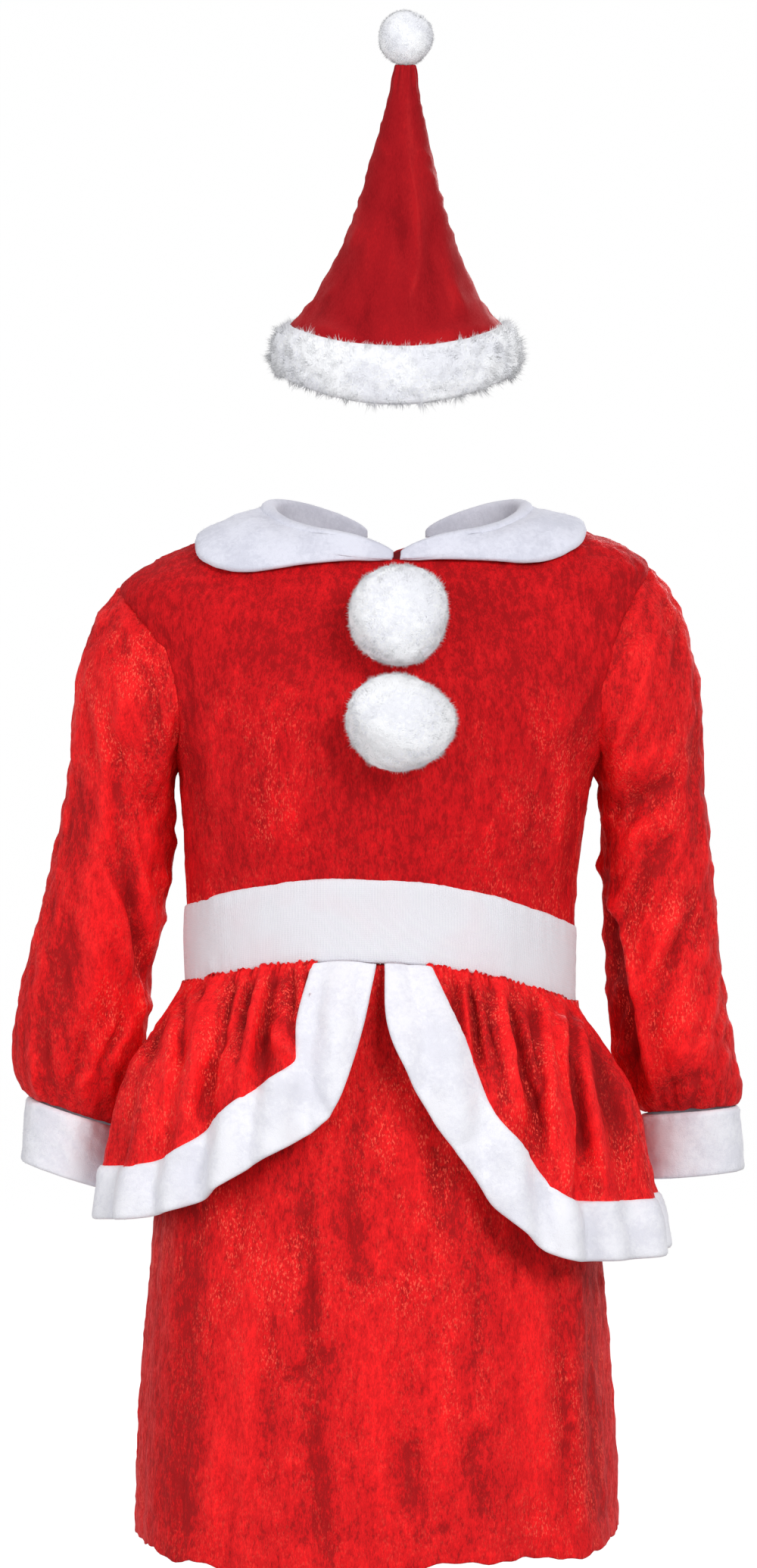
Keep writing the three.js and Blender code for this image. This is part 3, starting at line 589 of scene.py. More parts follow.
SLEEVE_FOLDS_RIGHT = [
    [92, -148, 108, -196, 2, 3.2, 1.9],
    [103, -176, 119, -236, 1, 3.2, 2.1],
    [113, -214, 126, -280, 1, 3.2, 2.1],
    [94, -146, 107, -224, 1, 6, -3.0],
    [101, -190, 117, -282, 1, 7.5, -3.6],
    [140, -126, 104, -146, 2, 5, -2.2],
    [134, -110, 100, -130, 2, 5, 1.3],
    [130, -142, 104, -166, 2, 4, 1.4],
    [136, -150, 110, -200, 3, 4.5, -1.8],
    [142, -184, 119, -234, 3, 5, 1.4],
    [152, -176, 130, -230, 3, 5, -1.4],
    [150, -220, 134, -262, 2, 5, 1.2],
    [156, -268, 126, -279, 1, 3, -1.4],
    [157, -252, 130, -264, 1, 4, 1.1],
    [128, -38, 140, -80, -2, 4, -0.9],
    [120, -56, 118, -104, 1, 5, 0.9],
    [146, -90, 142, -150, -2, 6, -1.0],
    [148, -272, 143, -288, 0, 2.5, -1.2],
    [132, -270, 136, -288, 0, 2.5, -1.2],
]
SLEEVE_FOLDS_BEHIND = [
    [126, -80, 144, -140, -3, 6, 1.3],
    [138, -96, 130, -168, 4, 5, -1.6],
    [128, -140, 148, -214, 3, 4.5, 1.5],
    [146, -150, 126, -226, -3, 4.5, -1.7],
    [158, -190, 140, -262, 2, 5, 1.5],
    [134, -214, 152, -276, 3, 4, -1.6],
    [156, -236, 148, -286, 1, 3.5, -1.3],
    [128, -236, 140, -284, -2, 3, 1.3],
    [166, -226, 162, -282, 1, 3.5, 1.2],
    [118, -100, 122, -150, 1, 4, -1.2],
]
INNER_BUMPS = {-1: (-155, -174, -193, -237, -262), 1: (-168, -201, -228, -258)}


def armhole_point(sign, turn):
    """Edge of the armhole, once round from the underarm up the front and down the back."""
    rise = (1 - np.cos(2 * np.pi * turn)) / 2
    ring = RING_UNDERARM + (RING_SHOULDER - RING_UNDERARM) * rise
    opening = armhole_at(ring) - SEAM_ANGLE
    return body_surface(sign * np.where(turn < 0.5, 90 - opening, 90 + opening), ring)


def body_normal(angle, ring, step=0.01):
    """Outward unit normal of the body's surface, from steps to both sides of the place."""
    across = body_surface(angle + step, ring) - body_surface(angle - step, ring)
    upward = body_surface(angle, ring + step) - body_surface(angle, ring - step)
    return unit(np.cross(across, upward))


def arm_point(sign, turn, row):
    """Point of a tilted oval section: turn 0 faces the body, 0.25 the front, 0.5 away from the body."""
    outward = -np.cos(2 * np.pi * turn) * row["half"]
    tilt = np.radians(row["tilt"])
    return np.stack(np.broadcast_arrays(
        row["middle"] + sign * outward * np.cos(tilt),
        row["y"] - np.sin(2 * np.pi * turn) * row["depth"],
        row["z"] + outward * np.sin(tilt)), axis=-1)


def sleeve_place(sign, table):
    """Surface of a sleeve: below, the oval sections of the table; above, for each turn, a cubic curve that
    leaves the armhole down and outwards and runs into the first section in that section's direction. Its
    last stretch turns in behind the bodice, as the seam allowance."""
    low, high = table["z"][0], table["z"][-1]

    def place(s, t):
        down = np.maximum(1 - t / (1 - ALLOWANCE_SHARE), 0)
        share = np.clip((down - ARMHOLE_SHARE) / (1 - ARMHOLE_SHARE), 0, 1)
        arm = arm_point(sign, s, row_at(table, "z", high + (low - high) * share))
        rise = (1 - np.cos(2 * np.pi * s)) / 2
        leave = unit(np.stack([sign * (0.35 + 0.45 * rise), -0.28 * np.sin(2 * np.pi * s), 0.3 * rise - 1],
                              axis=-1))
        start = armhole_point(sign, s) + ARMHOLE_GAP * leave
        end = arm_point(sign, s, row_at(table, "z", high))
        axis = unit(arm_point(sign, s, row_at(table, "z", high - 4.0)) - end)
        reach = np.linalg.norm(end - start, axis=-1, keepdims=True)
        u = np.clip(down / ARMHOLE_SHARE, 0, 1)[..., None]
        shoulder = cubic(u, start, end, leave * reach, axis * reach)
        ring = RING_UNDERARM + (RING_SHOULDER - RING_UNDERARM) * rise
        turned_in = SEAM_ALLOWANCE * np.maximum(t - 1 + ALLOWANCE_SHARE, 0) / ALLOWANCE_SHARE
        shoulder = shoulder - body_normal(90.0 * sign, ring) * turned_in[..., None]
        return np.where((down >= ARMHOLE_SHARE)[..., None], arm, shoulder)
    return place


def sleeve_relief(sign, folds):
    """Front folds of the table, folds behind, small bumps down the inner edge, gathers just above the
    cuff, fine long folds that lean across the arm as it is dragged by the armpit, and the crush of the
    pile."""
    def relief(points, s, t):
        x, z = points[..., 0], points[..., 2]
        facing = np.sin(2 * np.pi * s)
        front = SLEEVE_FOLD * creases(x, z, folds) * ramp(facing, -0.15, 0.15)
        back = SLEEVE_FOLD * creases(np.abs(x), z, SLEEVE_FOLDS_BEHIND) * ramp(-facing, 0.0, 0.35)
        inner = np.exp(-((np.minimum(s, 1 - s) / 0.1) ** 2))
        bumps = sum(1.8 * np.exp(-(((z - at) / 4) ** 2)) for at in INNER_BUMPS[sign]) * inner
        turn = 2 * np.pi * s
        gathers = (np.sin(17 * turn + 1.5 * np.sin(3 * turn)) + 0.6 * np.sin(29 * turn)) * ramp(t, 0.0, 0.02)
        leaning = points.copy()
        leaning[..., 0] += SLEEVE_DRAG[sign] * z
        long_folds = ripples(leaning, 8, 14 + sign, (1, 1, 7)) * ramp(t, 0.02, 0.15)
        gathered = 0.7 * gathers * (1 - ramp(t, 0.0, 0.09))
        return front + back + bumps + gathered + 0.75 * long_folds + 0.8 * crumple(points, 11)
    return relief


BRIGHT_REDS = ((0.38, 0.008, 0.011), (0.72, 0.010, 0.014), (1.0, 0.014, 0.018))
bright_velour = velour_material("bright_crushed_velour", BRIGHT_REDS, blotches=400.0, contrast=0.8,
                                sparkle=1.0, depth=0.0007, sheen=0.12, shine=0.45)
BRIGHT_SIDES = (bright_velour, wrong_side)

for side_name, sign, table, folds in (("left", -1, SLEEVE_LEFT, SLEEVE_FOLDS_LEFT),
                                      ("right", 1, SLEEVE_RIGHT, SLEEVE_FOLDS_RIGHT)):
    wall = cloth_wall(sleeve_place(sign, table), SLEEVE_COLUMNS, SLEEVE_ROWS, VELOUR,
                      relief=sleeve_relief(sign, folds), tube=True, side=sign, sewn="t0")
    piece = cloth_piece("cloth_sleeve_" + side_name, wall, BRIGHT_SIDES, tube=True, side=sign)
    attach(piece, "root")
    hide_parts("sleeve_" + side_name)

# Cuffs: bands of white fleece, folded double and sewn to the end of each sleeve. Fleece is a soft brushed
# knit: a matt, faintly mottled white, whose darker lilac patches are painted shade for its hollows, and a
# short fuzz at its edges.
FLEECE = 3.2
FUZZ = 0.55
FUZZ_WIDTH = 0.13
POINTS_PER_HAIR = 4
SEAM = 0.3
CUFF_LENGTH = 32
CUFF_FLARE = 0.5
CUFF_LEAN = 0.2
CUFF_PROUD = 1
CUFF_COLUMNS, CUFF_ROWS = 88, 26
CUFF_HAIRS = 3500

# Brushed pile: soft mottling in three sizes
brushed, given, result = new_group("brushed_pile", [("Vector", "Vector", None)],
                                   [("Mottle", "Float"), ("Height", "Float")])
broad = noise(brushed, given["Vector"], 45.0, 2.0, 0.5, 0.3)
tuft = noise(brushed, given["Vector"], 420.0, 3.0, 0.6, 0.5)
fibre = noise(brushed, given["Vector"], 2200.0, 2.0, 0.6)
feed(brushed, result, {"Mottle": weighted(brushed, [(broad, 0.6), (tuft, 0.4)]),
                       "Height": weighted(brushed, [(tuft, 0.55), (fibre, 0.45)])})


def fleece_material(name, hollow, raised, depth, sheen):
    """Brushed white pile: two whites by its mottling, which varies at random, the darker and lilac one a
    painted shade; a fine bump, fully rough with a soft sheen.
    """
    material, tree, shader = new_material(name)
    pile = add_node(tree, "Group", node_tree=brushed)
    feed(tree, pile, {"Vector": add_node(tree, "TexCoord").outputs["Object"]})
    mottle = span_of(tree, pile.outputs["Mottle"], 0.38, 0.6)
    feed(tree, shader, {"Base Color": mixed(tree, mottle, hollow, raised),
                        "Normal": bumped(tree, pile.outputs["Height"], 0.8, depth), "Roughness": 1.0,
                        "Specular IOR Level": 0.15, "Sheen Weight": sheen, "Sheen Roughness": 0.6})
    return material


fleece = fleece_material("white_fleece", (0.80, 0.80, 0.88), (0.90, 0.90, 0.96), 0.0006, 0.2)


def scatter(points, count, rng, tube=False):
    """Places spread evenly over a grid surface, with the normals there: each falls in a grid cell, chosen
    with a chance that goes with the cell's area."""
    normal = normals_of(points, tube)
    if tube:
        points, normal = np.concatenate([points, points[:1]]), np.concatenate([normal, normal[:1]])
    one, two = points[1:, :-1] - points[:-1, :-1], points[:-1, 1:] - points[:-1, :-1]
    area = np.linalg.norm(np.cross(one, two), axis=-1)
    cell = rng.choice(area.size, count, p=area.ravel() / area.sum())
    i, j = np.unravel_index(cell, area.shape)
    a, b = rng.random((2, count, 1))

    def between(grid):
        low = grid[i, j] * (1 - a) + grid[i + 1, j] * a
        high = grid[i, j + 1] * (1 - a) + grid[i + 1, j + 1] * a
        return low * (1 - b) + high * b
    return between(points), unit(between(normal))


def hairs(roots, leave, length, width, sweep):
    """Points and triangles of tapering three-sided hairs. Each has a ring of three points at its root and
    runs to a single point, which lies its length along a unit vector and is moved aside by sweep."""
    first = unit(np.cross(leave, (0.31, 0.52, 0.79)))
    second = np.cross(leave, first)
    turn = 2 * np.pi * np.arange(3) / 3
    ring = np.cos(turn)[:, None] * first[:, None] + np.sin(turn)[:, None] * second[:, None]
    tips = roots + leave * length[:, None] + sweep
    points = np.concatenate([roots[:, None] + ring * (width / 2), tips[:, None]], axis=1).reshape(-1, 3)
    one = np.array([(0, 2, 1), (0, 1, 3), (1, 2, 3), (2, 0, 3)])
    return points, (one[None] + POINTS_PER_HAIR * np.arange(len(roots))[:, None, None]).reshape(-1, 3)


def lean_normals(piece, first, directions, share):
    """Turn the shading normals of hairs towards the surface that they stand on, by a share, so that light
    falls on them as on soft pile. The hairs' points start at first, and each hair has its direction."""
    mesh = piece.data
    own = np.empty(len(mesh.vertices) * 3, np.float32)
    mesh.vertex_normals.foreach_get("vector", own)
    own = own.reshape(-1, 3)
    wanted = np.repeat(directions, POINTS_PER_HAIR, axis=0)
    own[first:] = unit(own[first:] * (1 - share) + wanted * share)
    mesh.normals_split_custom_set_from_vertices(own.tolist())


def fuzzy_piece(name, wall, material, count, seed, tube=False, side=1):
    """A fleece wall with short hairs on its outer face, joined into one mesh. Hairs lean at random, and
    fall a little."""
    outer, inner = wall[0], wall[1]
    rng = np.random.default_rng(seed)
    roots, normal = scatter(outer, count, rng, tube)
    leave = unit(normal * side + 0.75 * rng.normal(size=(count, 3)))
    long = FUZZ * rng.uniform(0.4, 1.25, count)
    sweep = 0.5 * long[:, None] * rng.normal(size=(count, 3)) + (0, 0, -0.15 * FUZZ)
    hair_points, hair_faces = hairs(roots - 0.15 * normal * side, leave, long, FUZZ_WIDTH, sweep)
    index, _ = wall_faces(*outer.shape[:2], tube, side < 0)
    body = np.concatenate([outer.reshape(-1, 3), inner.reshape(-1, 3)])
    piece = mesh_of(name, np.concatenate([body, hair_points]),
                    [(index[0], 0), (index[1], 0), (hair_faces + len(body), 0)], None, (material,))
    lean_normals(piece, len(body), normal * side, 0.9)
    return piece


def cuff_place(sign, table):
    """Surface of a cuff: the sleeve's last section, moved down along the arm and widened a little."""
    last = {name: v[0] for name, v in table.items()}
    lean = np.radians(last["tilt"] * CUFF_LEAN)
    down = np.array([sign * np.sin(lean), 0, -np.cos(lean)])

    def place(s, t):
        wider = CUFF_FLARE * (1 - t)
        row = last | {"half": last["half"] + wider, "depth": last["depth"] + wider}
        return arm_point(sign, s, row) + down * (SEAM + (CUFF_LENGTH - SEAM) * (1 - t))[..., None]
    return place


def cuff_relief(points, s, t):
    """Soft dents and a fuller lower edge, where the fleece turns back."""
    return 0.7 * ripples(points, 34, 21) + 0.18 * ripples(points, 9, 22) + 0.5 * (1 - ramp(t, 0.0, 0.25))


for side_name, sign, table in (("left", -1, SLEEVE_LEFT), ("right", 1, SLEEVE_RIGHT)):
    wall = cloth_wall(cuff_place(sign, table), CUFF_COLUMNS, CUFF_ROWS, FLEECE, CUFF_PROUD, cuff_relief,
                      True, sign, "t1")
    piece = fuzzy_piece("fleece_cuff_" + side_name, wall, fleece, CUFF_HAIRS, 31 + sign, True, sign)
    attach(piece, "root")
    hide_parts("cuff_" + side_name)

# Collar: two halves of white fleece with rounded leaves. Each stands up from the neck seam, rolls over
# and lies on the shoulders; they meet in a narrow corner at the front and end at the back's opening.
COLLAR = columns_of("angle rollZ leafRing thick", [
    [1, -15, 12.75, 1.6],
    [6, -11.5, 12.6, 2.2],
    [14, -8, 12.45, 2.8],
    [24, -5.5, 11.9, 3.4],
    [36, -3.5, 11.1, 4],
    [52, 0, 11.15, 4],
    [70, 5, 11.55, 4],
    [90, 10, 11.85, 4],
    [112, 12.5, 11.6, 4],
    [134, 11.5, 11.2, 4],
    [152, 7.5, 11.5, 3.6],
    [163, 3, 12.0, 2.8],
    [169, -1, 12.4, 1.8],
])
COLLAR_CLEAR = 0.6
COLLAR_LOOSE = 0.3
COLLAR_LOFT = 0.9
COLLAR_LENGTH = 150
COLLAR_COLUMNS, COLLAR_ROWS = 92, 40
COLLAR_HAIRS = 4000
EDGE_ROUNDING = 2.2
LEAF_START = 0.12
LEAF_STEPS = 4
ROLL_STEPS = 4

# A darker, greyer copy of the fleece for the collar, which faces the light from above: painted shade
painted_shade_fleece = fleece_material("painted_shade_fleece", (0.64, 0.65, 0.75), (0.75, 0.76, 0.86), 0.0006, 0.2)


def smooth_through(points, count):
    """A smooth curve through each row of points, as count points: a cubic between two of them, whose slope
    at a point is half the step between its neighbours."""
    last = points.shape[1] - 1
    at = np.linspace(0, last, count)
    i = np.minimum(at.astype(int), last - 1)
    t = (at - i)[:, None]
    before, after = points[:, np.maximum(i - 1, 0)], points[:, np.minimum(i + 2, last)]
    start, end = points[:, i], points[:, i + 1]
    return cubic(t, start, end, (end - before) / 2, (after - start) / 2)


def collar_lines(angles, sign):
    """Middle lines of the collar's sheet at plan angles: a point at the neck seam, half a circle over the
    roll, then points lifted off the body's surface as far as the leaf's edge, less and less on the way.
    Also the thickness there."""
    row = row_at(COLLAR, "angle", angles)
    thick = row["thick"]
    neck = body_surface(sign * angles, np.full(angles.shape, float(RING_NECK)))
    outward = unit(neck * (1, 1, 0))
    radius = thick / 2 + COLLAR_LOOSE
    spring = neck + outward * (COLLAR_CLEAR - thick / 2)[:, None]
    line = [spring * (1, 1, 0) + (neck[:, 2:] + SEAM) * (0, 0, 1)]
    spring[:, 2] = np.maximum(row["rollZ"] - thick / 2 - radius, neck[:, 2] + 2 * SEAM)
    for k in range(ROLL_STEPS + 1):
        a = np.pi * k / ROLL_STEPS
        rise = np.stack([0 * radius, 0 * radius, radius * np.sin(a)], axis=-1)
        line.append(spring + outward * (radius * (1 - np.cos(a)))[:, None] + rise)
    step = 0.01
    for k in range(1, LEAF_STEPS + 1):
        ring = RING_NECK - LEAF_START + (row["leafRing"] - RING_NECK + LEAF_START) * k / LEAF_STEPS
        across = body_surface(sign * angles + step, ring) - body_surface(sign * angles - step, ring)
        upward = body_surface(sign * angles, ring) - body_surface(sign * angles, ring - step)
        lift = (COLLAR_CLEAR + thick / 2 + thick * COLLAR_LOFT * (1 - k / LEAF_STEPS))[:, None]
        line.append(body_surface(sign * angles, ring) + unit(np.cross(across, upward)) * lift)
    return np.stack(line, axis=1), thick


for side_name, sign in (("left", -1), ("right", 1)):
    turn = spread(COLLAR_COLUMNS, COLLAR_LENGTH, 2.0)
    angles = COLLAR["angle"][0] + (COLLAR["angle"][-1] - COLLAR["angle"][0]) * turn
    lines, thick = collar_lines(angles, sign)
    middle = smooth_through(lines, COLLAR_ROWS)
    normal = normals_of(middle) * -sign
    across, along = np.meshgrid(turn, np.linspace(0, 1, COLLAR_ROWS), indexing="ij")
    soft = (0.55 * ripples(middle, 30, 41) + 0.16 * ripples(middle, 9, 42)) * ramp(along, 0.45, 0.75)
    middle = middle + normal * np.abs(soft)[..., None]
    run = run_along(middle, 1)
    edge = np.minimum(run[:, -1:] - run, np.minimum(across, 1 - across) * COLLAR_LENGTH)
    half = normal * (thick[:, None] / 2 * fullness_at(edge / EDGE_ROUNDING, 0.02))[..., None]
    wall = (middle + half, middle - half)
    piece = fuzzy_piece("fleece_collar_" + side_name, wall, painted_shade_fleece, COLLAR_HAIRS, 43 + sign,
                        side=-sign)
    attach(piece, "root")
    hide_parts("collar_" + side_name)

# Waistband: a wide band of ribbed white knit, sewn between bodice and skirt and closed at the back. Its
# upper edge is slightly jagged where it was cut along the ribs, and the red cloth shows through faintly.
BAND_PROUD = 0.8
BAND_THICK = 3.2
BAND_COLUMNS, BAND_ROWS = 330, 16
BAND_TEETH = 170
CENTRE_BACK = 179.97

rib_knit, tree, shader = new_material("ribbed_knit")
place = add_node(tree, "TexCoord").outputs["UV"]
ribs = {"Vector": place, "Scale": 420.0, "Distortion": 0.35, "Detail": 1.0, "Detail Scale": 40.0}
courses = {"Vector": place, "Scale": 330.0, "Distortion": 0.6, "Detail": 1.0, "Detail Scale": 60.0}
rib = add_node(tree, "TexWave", ribs, wave_type="BANDS", bands_direction="X").outputs["Fac"]
course = add_node(tree, "TexWave", courses, wave_type="BANDS", bands_direction="Y").outputs["Fac"]
worn = span_of(tree, noise(tree, place, 26.0, 2.0, 0.5, 0.4), 0.48, 0.72)
# Two whites by the ribs, the darker lilac one down between them: painted shade in the ribs' grooves
white = mixed(tree, rib, (0.78, 0.77, 0.84), (0.89, 0.885, 0.93))
tinged = mixed(tree, maths(tree, "MULTIPLY", worn, 0.22), white, (0.88, 0.66, 0.72))
height = weighted(tree, [(rib, 0.75), (course, 0.25)])
feed(tree, shader, {"Base Color": tinged, "Normal": bumped(tree, height, 0.7, 0.0003),
                    "Roughness": 0.95, "Sheen Weight": 0.3})


def band_place(s, t):
    """The body's surface between the two rings of the band, with a small sawtooth along the upper one."""
    teeth = 0.004 * np.abs(np.sin(np.pi * BAND_TEETH * s)) + 0.004 * np.sin(61 * s) ** 2
    return body_surface(CENTRE_BACK * (2 * s - 1), (RING_WAIST + teeth) * t)


def band_relief(points, s, t):
    """A slight swell between its sewn edges, and shallow dents."""
    return 0.5 * np.sin(np.pi * t) + 0.35 * ripples(points, 42, 51) + 0.12 * ripples(points, 11, 52)


wall = cloth_wall(band_place, BAND_COLUMNS, BAND_ROWS, BAND_THICK, BAND_PROUD, band_relief, sewn="t0 t1")
piece = cloth_piece("ribbed_waistband", wall, (rib_knit,))
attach(piece, "root")
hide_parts("waistband")

# Peplum: a short overskirt of velour in two halves, gathered into the seam under the waistband. It flares
# over the hips and opens at the centre front; deep uneven gathers fall from the seam.
PEPLUM = columns_of("drop half front back wave", [
    [0, 94.3, 76.8, 70.8, 0.5],
    [10, 102, 84, 77, 0.9],
    [25, 113, 92, 84, 1.4],
    [45, 124, 98, 90, 2.0],
    [75, 131, 102, 95, 2.6],
    [130, 141, 108, 102, 3.4],
])
PEPLUM_COLUMNS, PEPLUM_ROWS = 230, 52
PEPLUM_MIDDLE = -8
PEPLUM_GATHERS = 15
PEPLUM_CORNER_ROW = 2
EDGE_ANGLE = -1.6
EDGE_DROP = -3
PEPLUM_HEAD = 1.7
ARM_DENT = {"angle": 101, "width": 24, "depth": 13, "share": 0.3}
PEPLUM_BULGE = {"angle": 70, "width": 16, "height": 6}
TRIM_NAMES = "inAngle inDrop outAngle outDrop"
TRIM_LEFT = columns_of(TRIM_NAMES, [
    [17.5, 0.4, 0.7, 0.4],
    [17.5, 25, 2.5, 26],
    [16.5, 44, 4.8, 49],
    [20, 52, 8, 70],
    [27, 60, 15, 84],
    [34, 70, 25, 96],
    [43, 83, 36, 109],
    [56, 89, 52, 115],
    [80, 87, 80, 113],
    [115, 90, 115, 116],
    [150, 93, 150, 119],
    [CENTRE_BACK, 94, CENTRE_BACK, 120],
])
TRIM_RIGHT = columns_of(TRIM_NAMES, [
    [12.5, 0.4, 0.7, 0.4],
    [16, 24, 0.9, 27],
    [19, 46, 3.9, 50],
    [22.5, 68, 9, 73],
    [29, 83, 15.5, 95],
    [34, 97, 24, 118],
    [40, 102, 35, 131],
    [55, 98, 53, 127],
    [80, 90, 80, 117],
    [115, 88, 115, 114],
    [150, 92, 150, 118],
    [CENTRE_BACK, 94, CENTRE_BACK, 120],
])
for table in (TRIM_LEFT, TRIM_RIGHT):
    table["share"] = np.linspace(0, 1, len(table["inDrop"]))
PEPLUM_FOLD = 2.5
PEPLUM_PAINTED_SHADE = 1.5
PEPLUM_FOLDS = {-1: [
    [-104, -212, -120, -262, 2, 3, -2.4],
    [-102, -212, -103, -264, 1, 2.5, -2.6],
    [-91, -210, -95, -234, 0, 2.5, -2.2],
    [-76, -206, -83, -258, 1, 3.2, -2.6],
    [-82, -246, -93, -290, 1, 4, -1.8],
    [-66, -204, -77, -266, 2, 3.2, -2.3],
    [-56, -206, -65, -272, 2, 3, -2.2],
    [-45, -204, -41, -262, -2, 2.5, -2.8],
    [-51, -206, -49, -250, 1, 2.5, -1.8],
    [-61, -240, -47, -260, 2, 3, 1.6],
    [-97, -212, -111, -292, 3, 4, 2.0],
    [-86, -210, -99, -292, 2, 4.2, 2.0],
    [-71, -208, -86, -284, 2, 3.8, 2.0],
    [-61, -208, -74, -280, 2, 3.6, 1.8],
    [-41, -206, -43, -244, 0, 2.2, 1.5],
], 1: [
    [27, -210, 31, -250, 0, 2.3, -1.9],
    [35, -210, 40, -266, 1, 2.5, -2.9],
    [44, -212, 53, -280, 2, 3, -2.0],
    [55, -216, 66, -284, 3, 3, -2.9],
    [65, -270, 69, -308, 0, 3.5, -1.8],
    [66, -218, 71, -282, 1, 2.5, -2.1],
    [84, -222, 89, -312, 1, 4.6, -2.9],
    [94, -226, 109, -308, 2, 5, -2.2],
    [31, -212, 36, -270, 0, 2.6, 1.5],
    [50, -212, 61, -290, 3, 3.6, 2.1],
    [79, -220, 81, -322, 0, 3.4, 2.6],
    [70, -220, 74, -306, 0, 2.8, 1.8],
    [87, -224, 99, -316, 2, 3.8, 2.2],
]}


def hump(angle, shape):
    """A flat-topped bell over plan angles to either side: the exponential of minus the fourth power."""
    return np.exp(-(((np.abs(angle) - shape["angle"]) / shape["width"]) ** 4))


def peplum_surface(angle, drop):
    """Point of the peplum at a plan angle and a drop below the waistband: the flared oval, with the waves
    of its gathers as two sine waves round it, pressed in behind the arms and fuller in front of them."""
    row = row_at(PEPLUM, "drop", drop)
    a = np.radians(angle)
    waves = np.sin(PEPLUM_GATHERS * a * 2 + 1.3 * np.sin(3 * a)) + 0.5 * np.sin(13 * a + 0.8)
    dent = np.minimum(ARM_DENT["depth"], ARM_DENT["share"] * drop) * hump(angle, ARM_DENT)
    bulge = PEPLUM_BULGE["height"] * np.clip(drop / 40, 0, 1) * hump(angle, PEPLUM_BULGE)
    swell = row["wave"] * waves - dent + bulge
    oval = {"middle": PEPLUM_MIDDLE} | {name: row[name] + swell for name in ("half", "front", "back")}
    return oval_point(angle, oval, ring_height(angle, LOWEST_RING) - drop, BODY_SQUARENESS)


def peplum_place(sign, table):
    """The red panel of one half: from its lower edge, which follows the trim's inner edge, up to the seam,
    where it is drawn together; near the front it blends into the straight front edge."""
    corner_share = table["share"][PEPLUM_CORNER_ROW]
    corner_angle = table["inAngle"][PEPLUM_CORNER_ROW]
    drawn = (CENTRE_BACK - table["inAngle"][0]) / (CENTRE_BACK - corner_angle)

    def place(s, t):
        edge = row_at(table, "share", corner_share + (1 - corner_share) * s)
        top_angle = table["inAngle"][0] + (edge["inAngle"] - corner_angle) * drawn
        front = row_at(table, "share", corner_share * (1 - t))
        near = np.maximum(1 - s, 0) ** 5
        angle = (edge["inAngle"] + (top_angle - edge["inAngle"]) * t) * (1 - near) + front["inAngle"] * near
        drop = (edge["inDrop"] * (1 - t)) * (1 - near) + front["inDrop"] * near
        head = (PEPLUM_HEAD + 0.6 * np.sin(angle * 3.1 + 2 * np.sin(angle / 3))) * ramp(t, 0.93, 1.0)
        return peplum_surface(sign * (angle + EDGE_ANGLE * (1 - s)), drop - EDGE_DROP * (1 - t) - head)
    return place


def peplum_relief(sign):
    """The gathers of the table in front; at the sides and the back, sharper gathers worked out as peaks of
    a sine wave of uneven pitch that are deepest near the seam and die away downwards."""
    def relief(points, s, t):
        x, y, z = points[..., 0], points[..., 1], points[..., 2]
        front = PEPLUM_FOLD * creases(x, z, PEPLUM_FOLDS[sign]) * ramp(-y, 20, 45)
        front *= 0.35 + 0.65 * ramp(1 - t, 0.0, 0.12)
        a = np.arctan2(x - PEPLUM_MIDDLE, -y)
        pleat = np.sin(34 * a + 2.2 * np.sin(5 * a) + 1.1 * np.sin(11 * a + 0.6))
        behind = (2 * np.abs(pleat) ** 1.4 - 1) * (0.35 + 1.1 * ramp(t, 0.15, 0.95)) * ramp(1 - t, 0.0, 0.1)
        loops = 1.3 + 0.7 * np.sin(a * 150 + 2.5 * np.sin(31 * a)) + 0.3 * np.sin(a * 233)
        under_border = 0.7 * np.maximum(1 - ramp(s, 0.0, 0.05), 1 - ramp(t, 0.0, 0.08))
        return (front + behind * (1 - ramp(-y, 20, 45)) + crumple(points, 61) * ramp(1 - t, 0.0, 0.1)
                + loops * ramp(t, 0.9, 0.99) + under_border)
    return relief


for side_name, sign, table in (("left", -1, TRIM_LEFT), ("right", 1, TRIM_RIGHT)):
    wall = cloth_wall(peplum_place(sign, table), PEPLUM_COLUMNS, PEPLUM_ROWS, VELOUR,
                      relief=peplum_relief(sign), side=sign)
    # The fold heights count half as much again here, for deeper painted shade in the troughs and painted
    # light on the ridges
    wall = (*wall[:4], wall[4] * PEPLUM_PAINTED_SHADE)
    piece = cloth_piece("cloth_peplum_" + side_name, wall, BRIGHT_SIDES, side=sign)
    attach(piece, "root")
    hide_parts("peplum_" + side_name)

# Peplum border: a folded strip of white fleece round the front and lower edges of each half, with soft
# folds where it turns the corners.
TRIM_PROUD = 2.2
TRIM_COLUMNS, TRIM_ROWS = 230, 22
TRIM_HAIRS = 5000
TRIM_FOLDS = {-1: [
    [-42, -262, -24, -296, 2, 4.5, -2.2],
    [-50, -270, -41, -306, -2, 5, -2.0],
    [-88, -300, -104, -348, 1, 4.5, -2.2],
    [-68, -296, -62, -330, 1, 6, 1.2],
    [-30, -216, -28, -262, 1, 4, 1.2],
    [-20, -214, -19, -250, 0, 3, -1.2],
    [-140, -316, -147, -350, 1, 4, -1.6],
    [-118, -316, -120, -348, 0, 5, 1.0],
], 1: [
    [70, -316, 74, -358, 0, 3, -2.6],
    [44, -288, 20, -312, 2, 5.5, -1.6],
    [4, -212, 14, -246, 1, 3, -1.8],
    [13, -214, 22, -250, 0, 3.5, 1.2],
    [30, -262, 14, -280, 0, 6, 1.0],
    [88, -320, 86, -356, 0, 5, 1.2],
    [112, -312, 110, -350, 0, 5, -1.4],
    [56, -316, 42, -336, 0, 5, 1.3],
]}


def trim_place(sign, table):
    """The border of one half, from its outer edge to its inner edge."""
    def place(s, t):
        edge = row_at(table, "share", s)
        angle = edge["outAngle"] + (edge["inAngle"] - edge["outAngle"]) * t
        return peplum_surface(sign * angle, edge["outDrop"] + (edge["inDrop"] - edge["outDrop"]) * t)
    return place


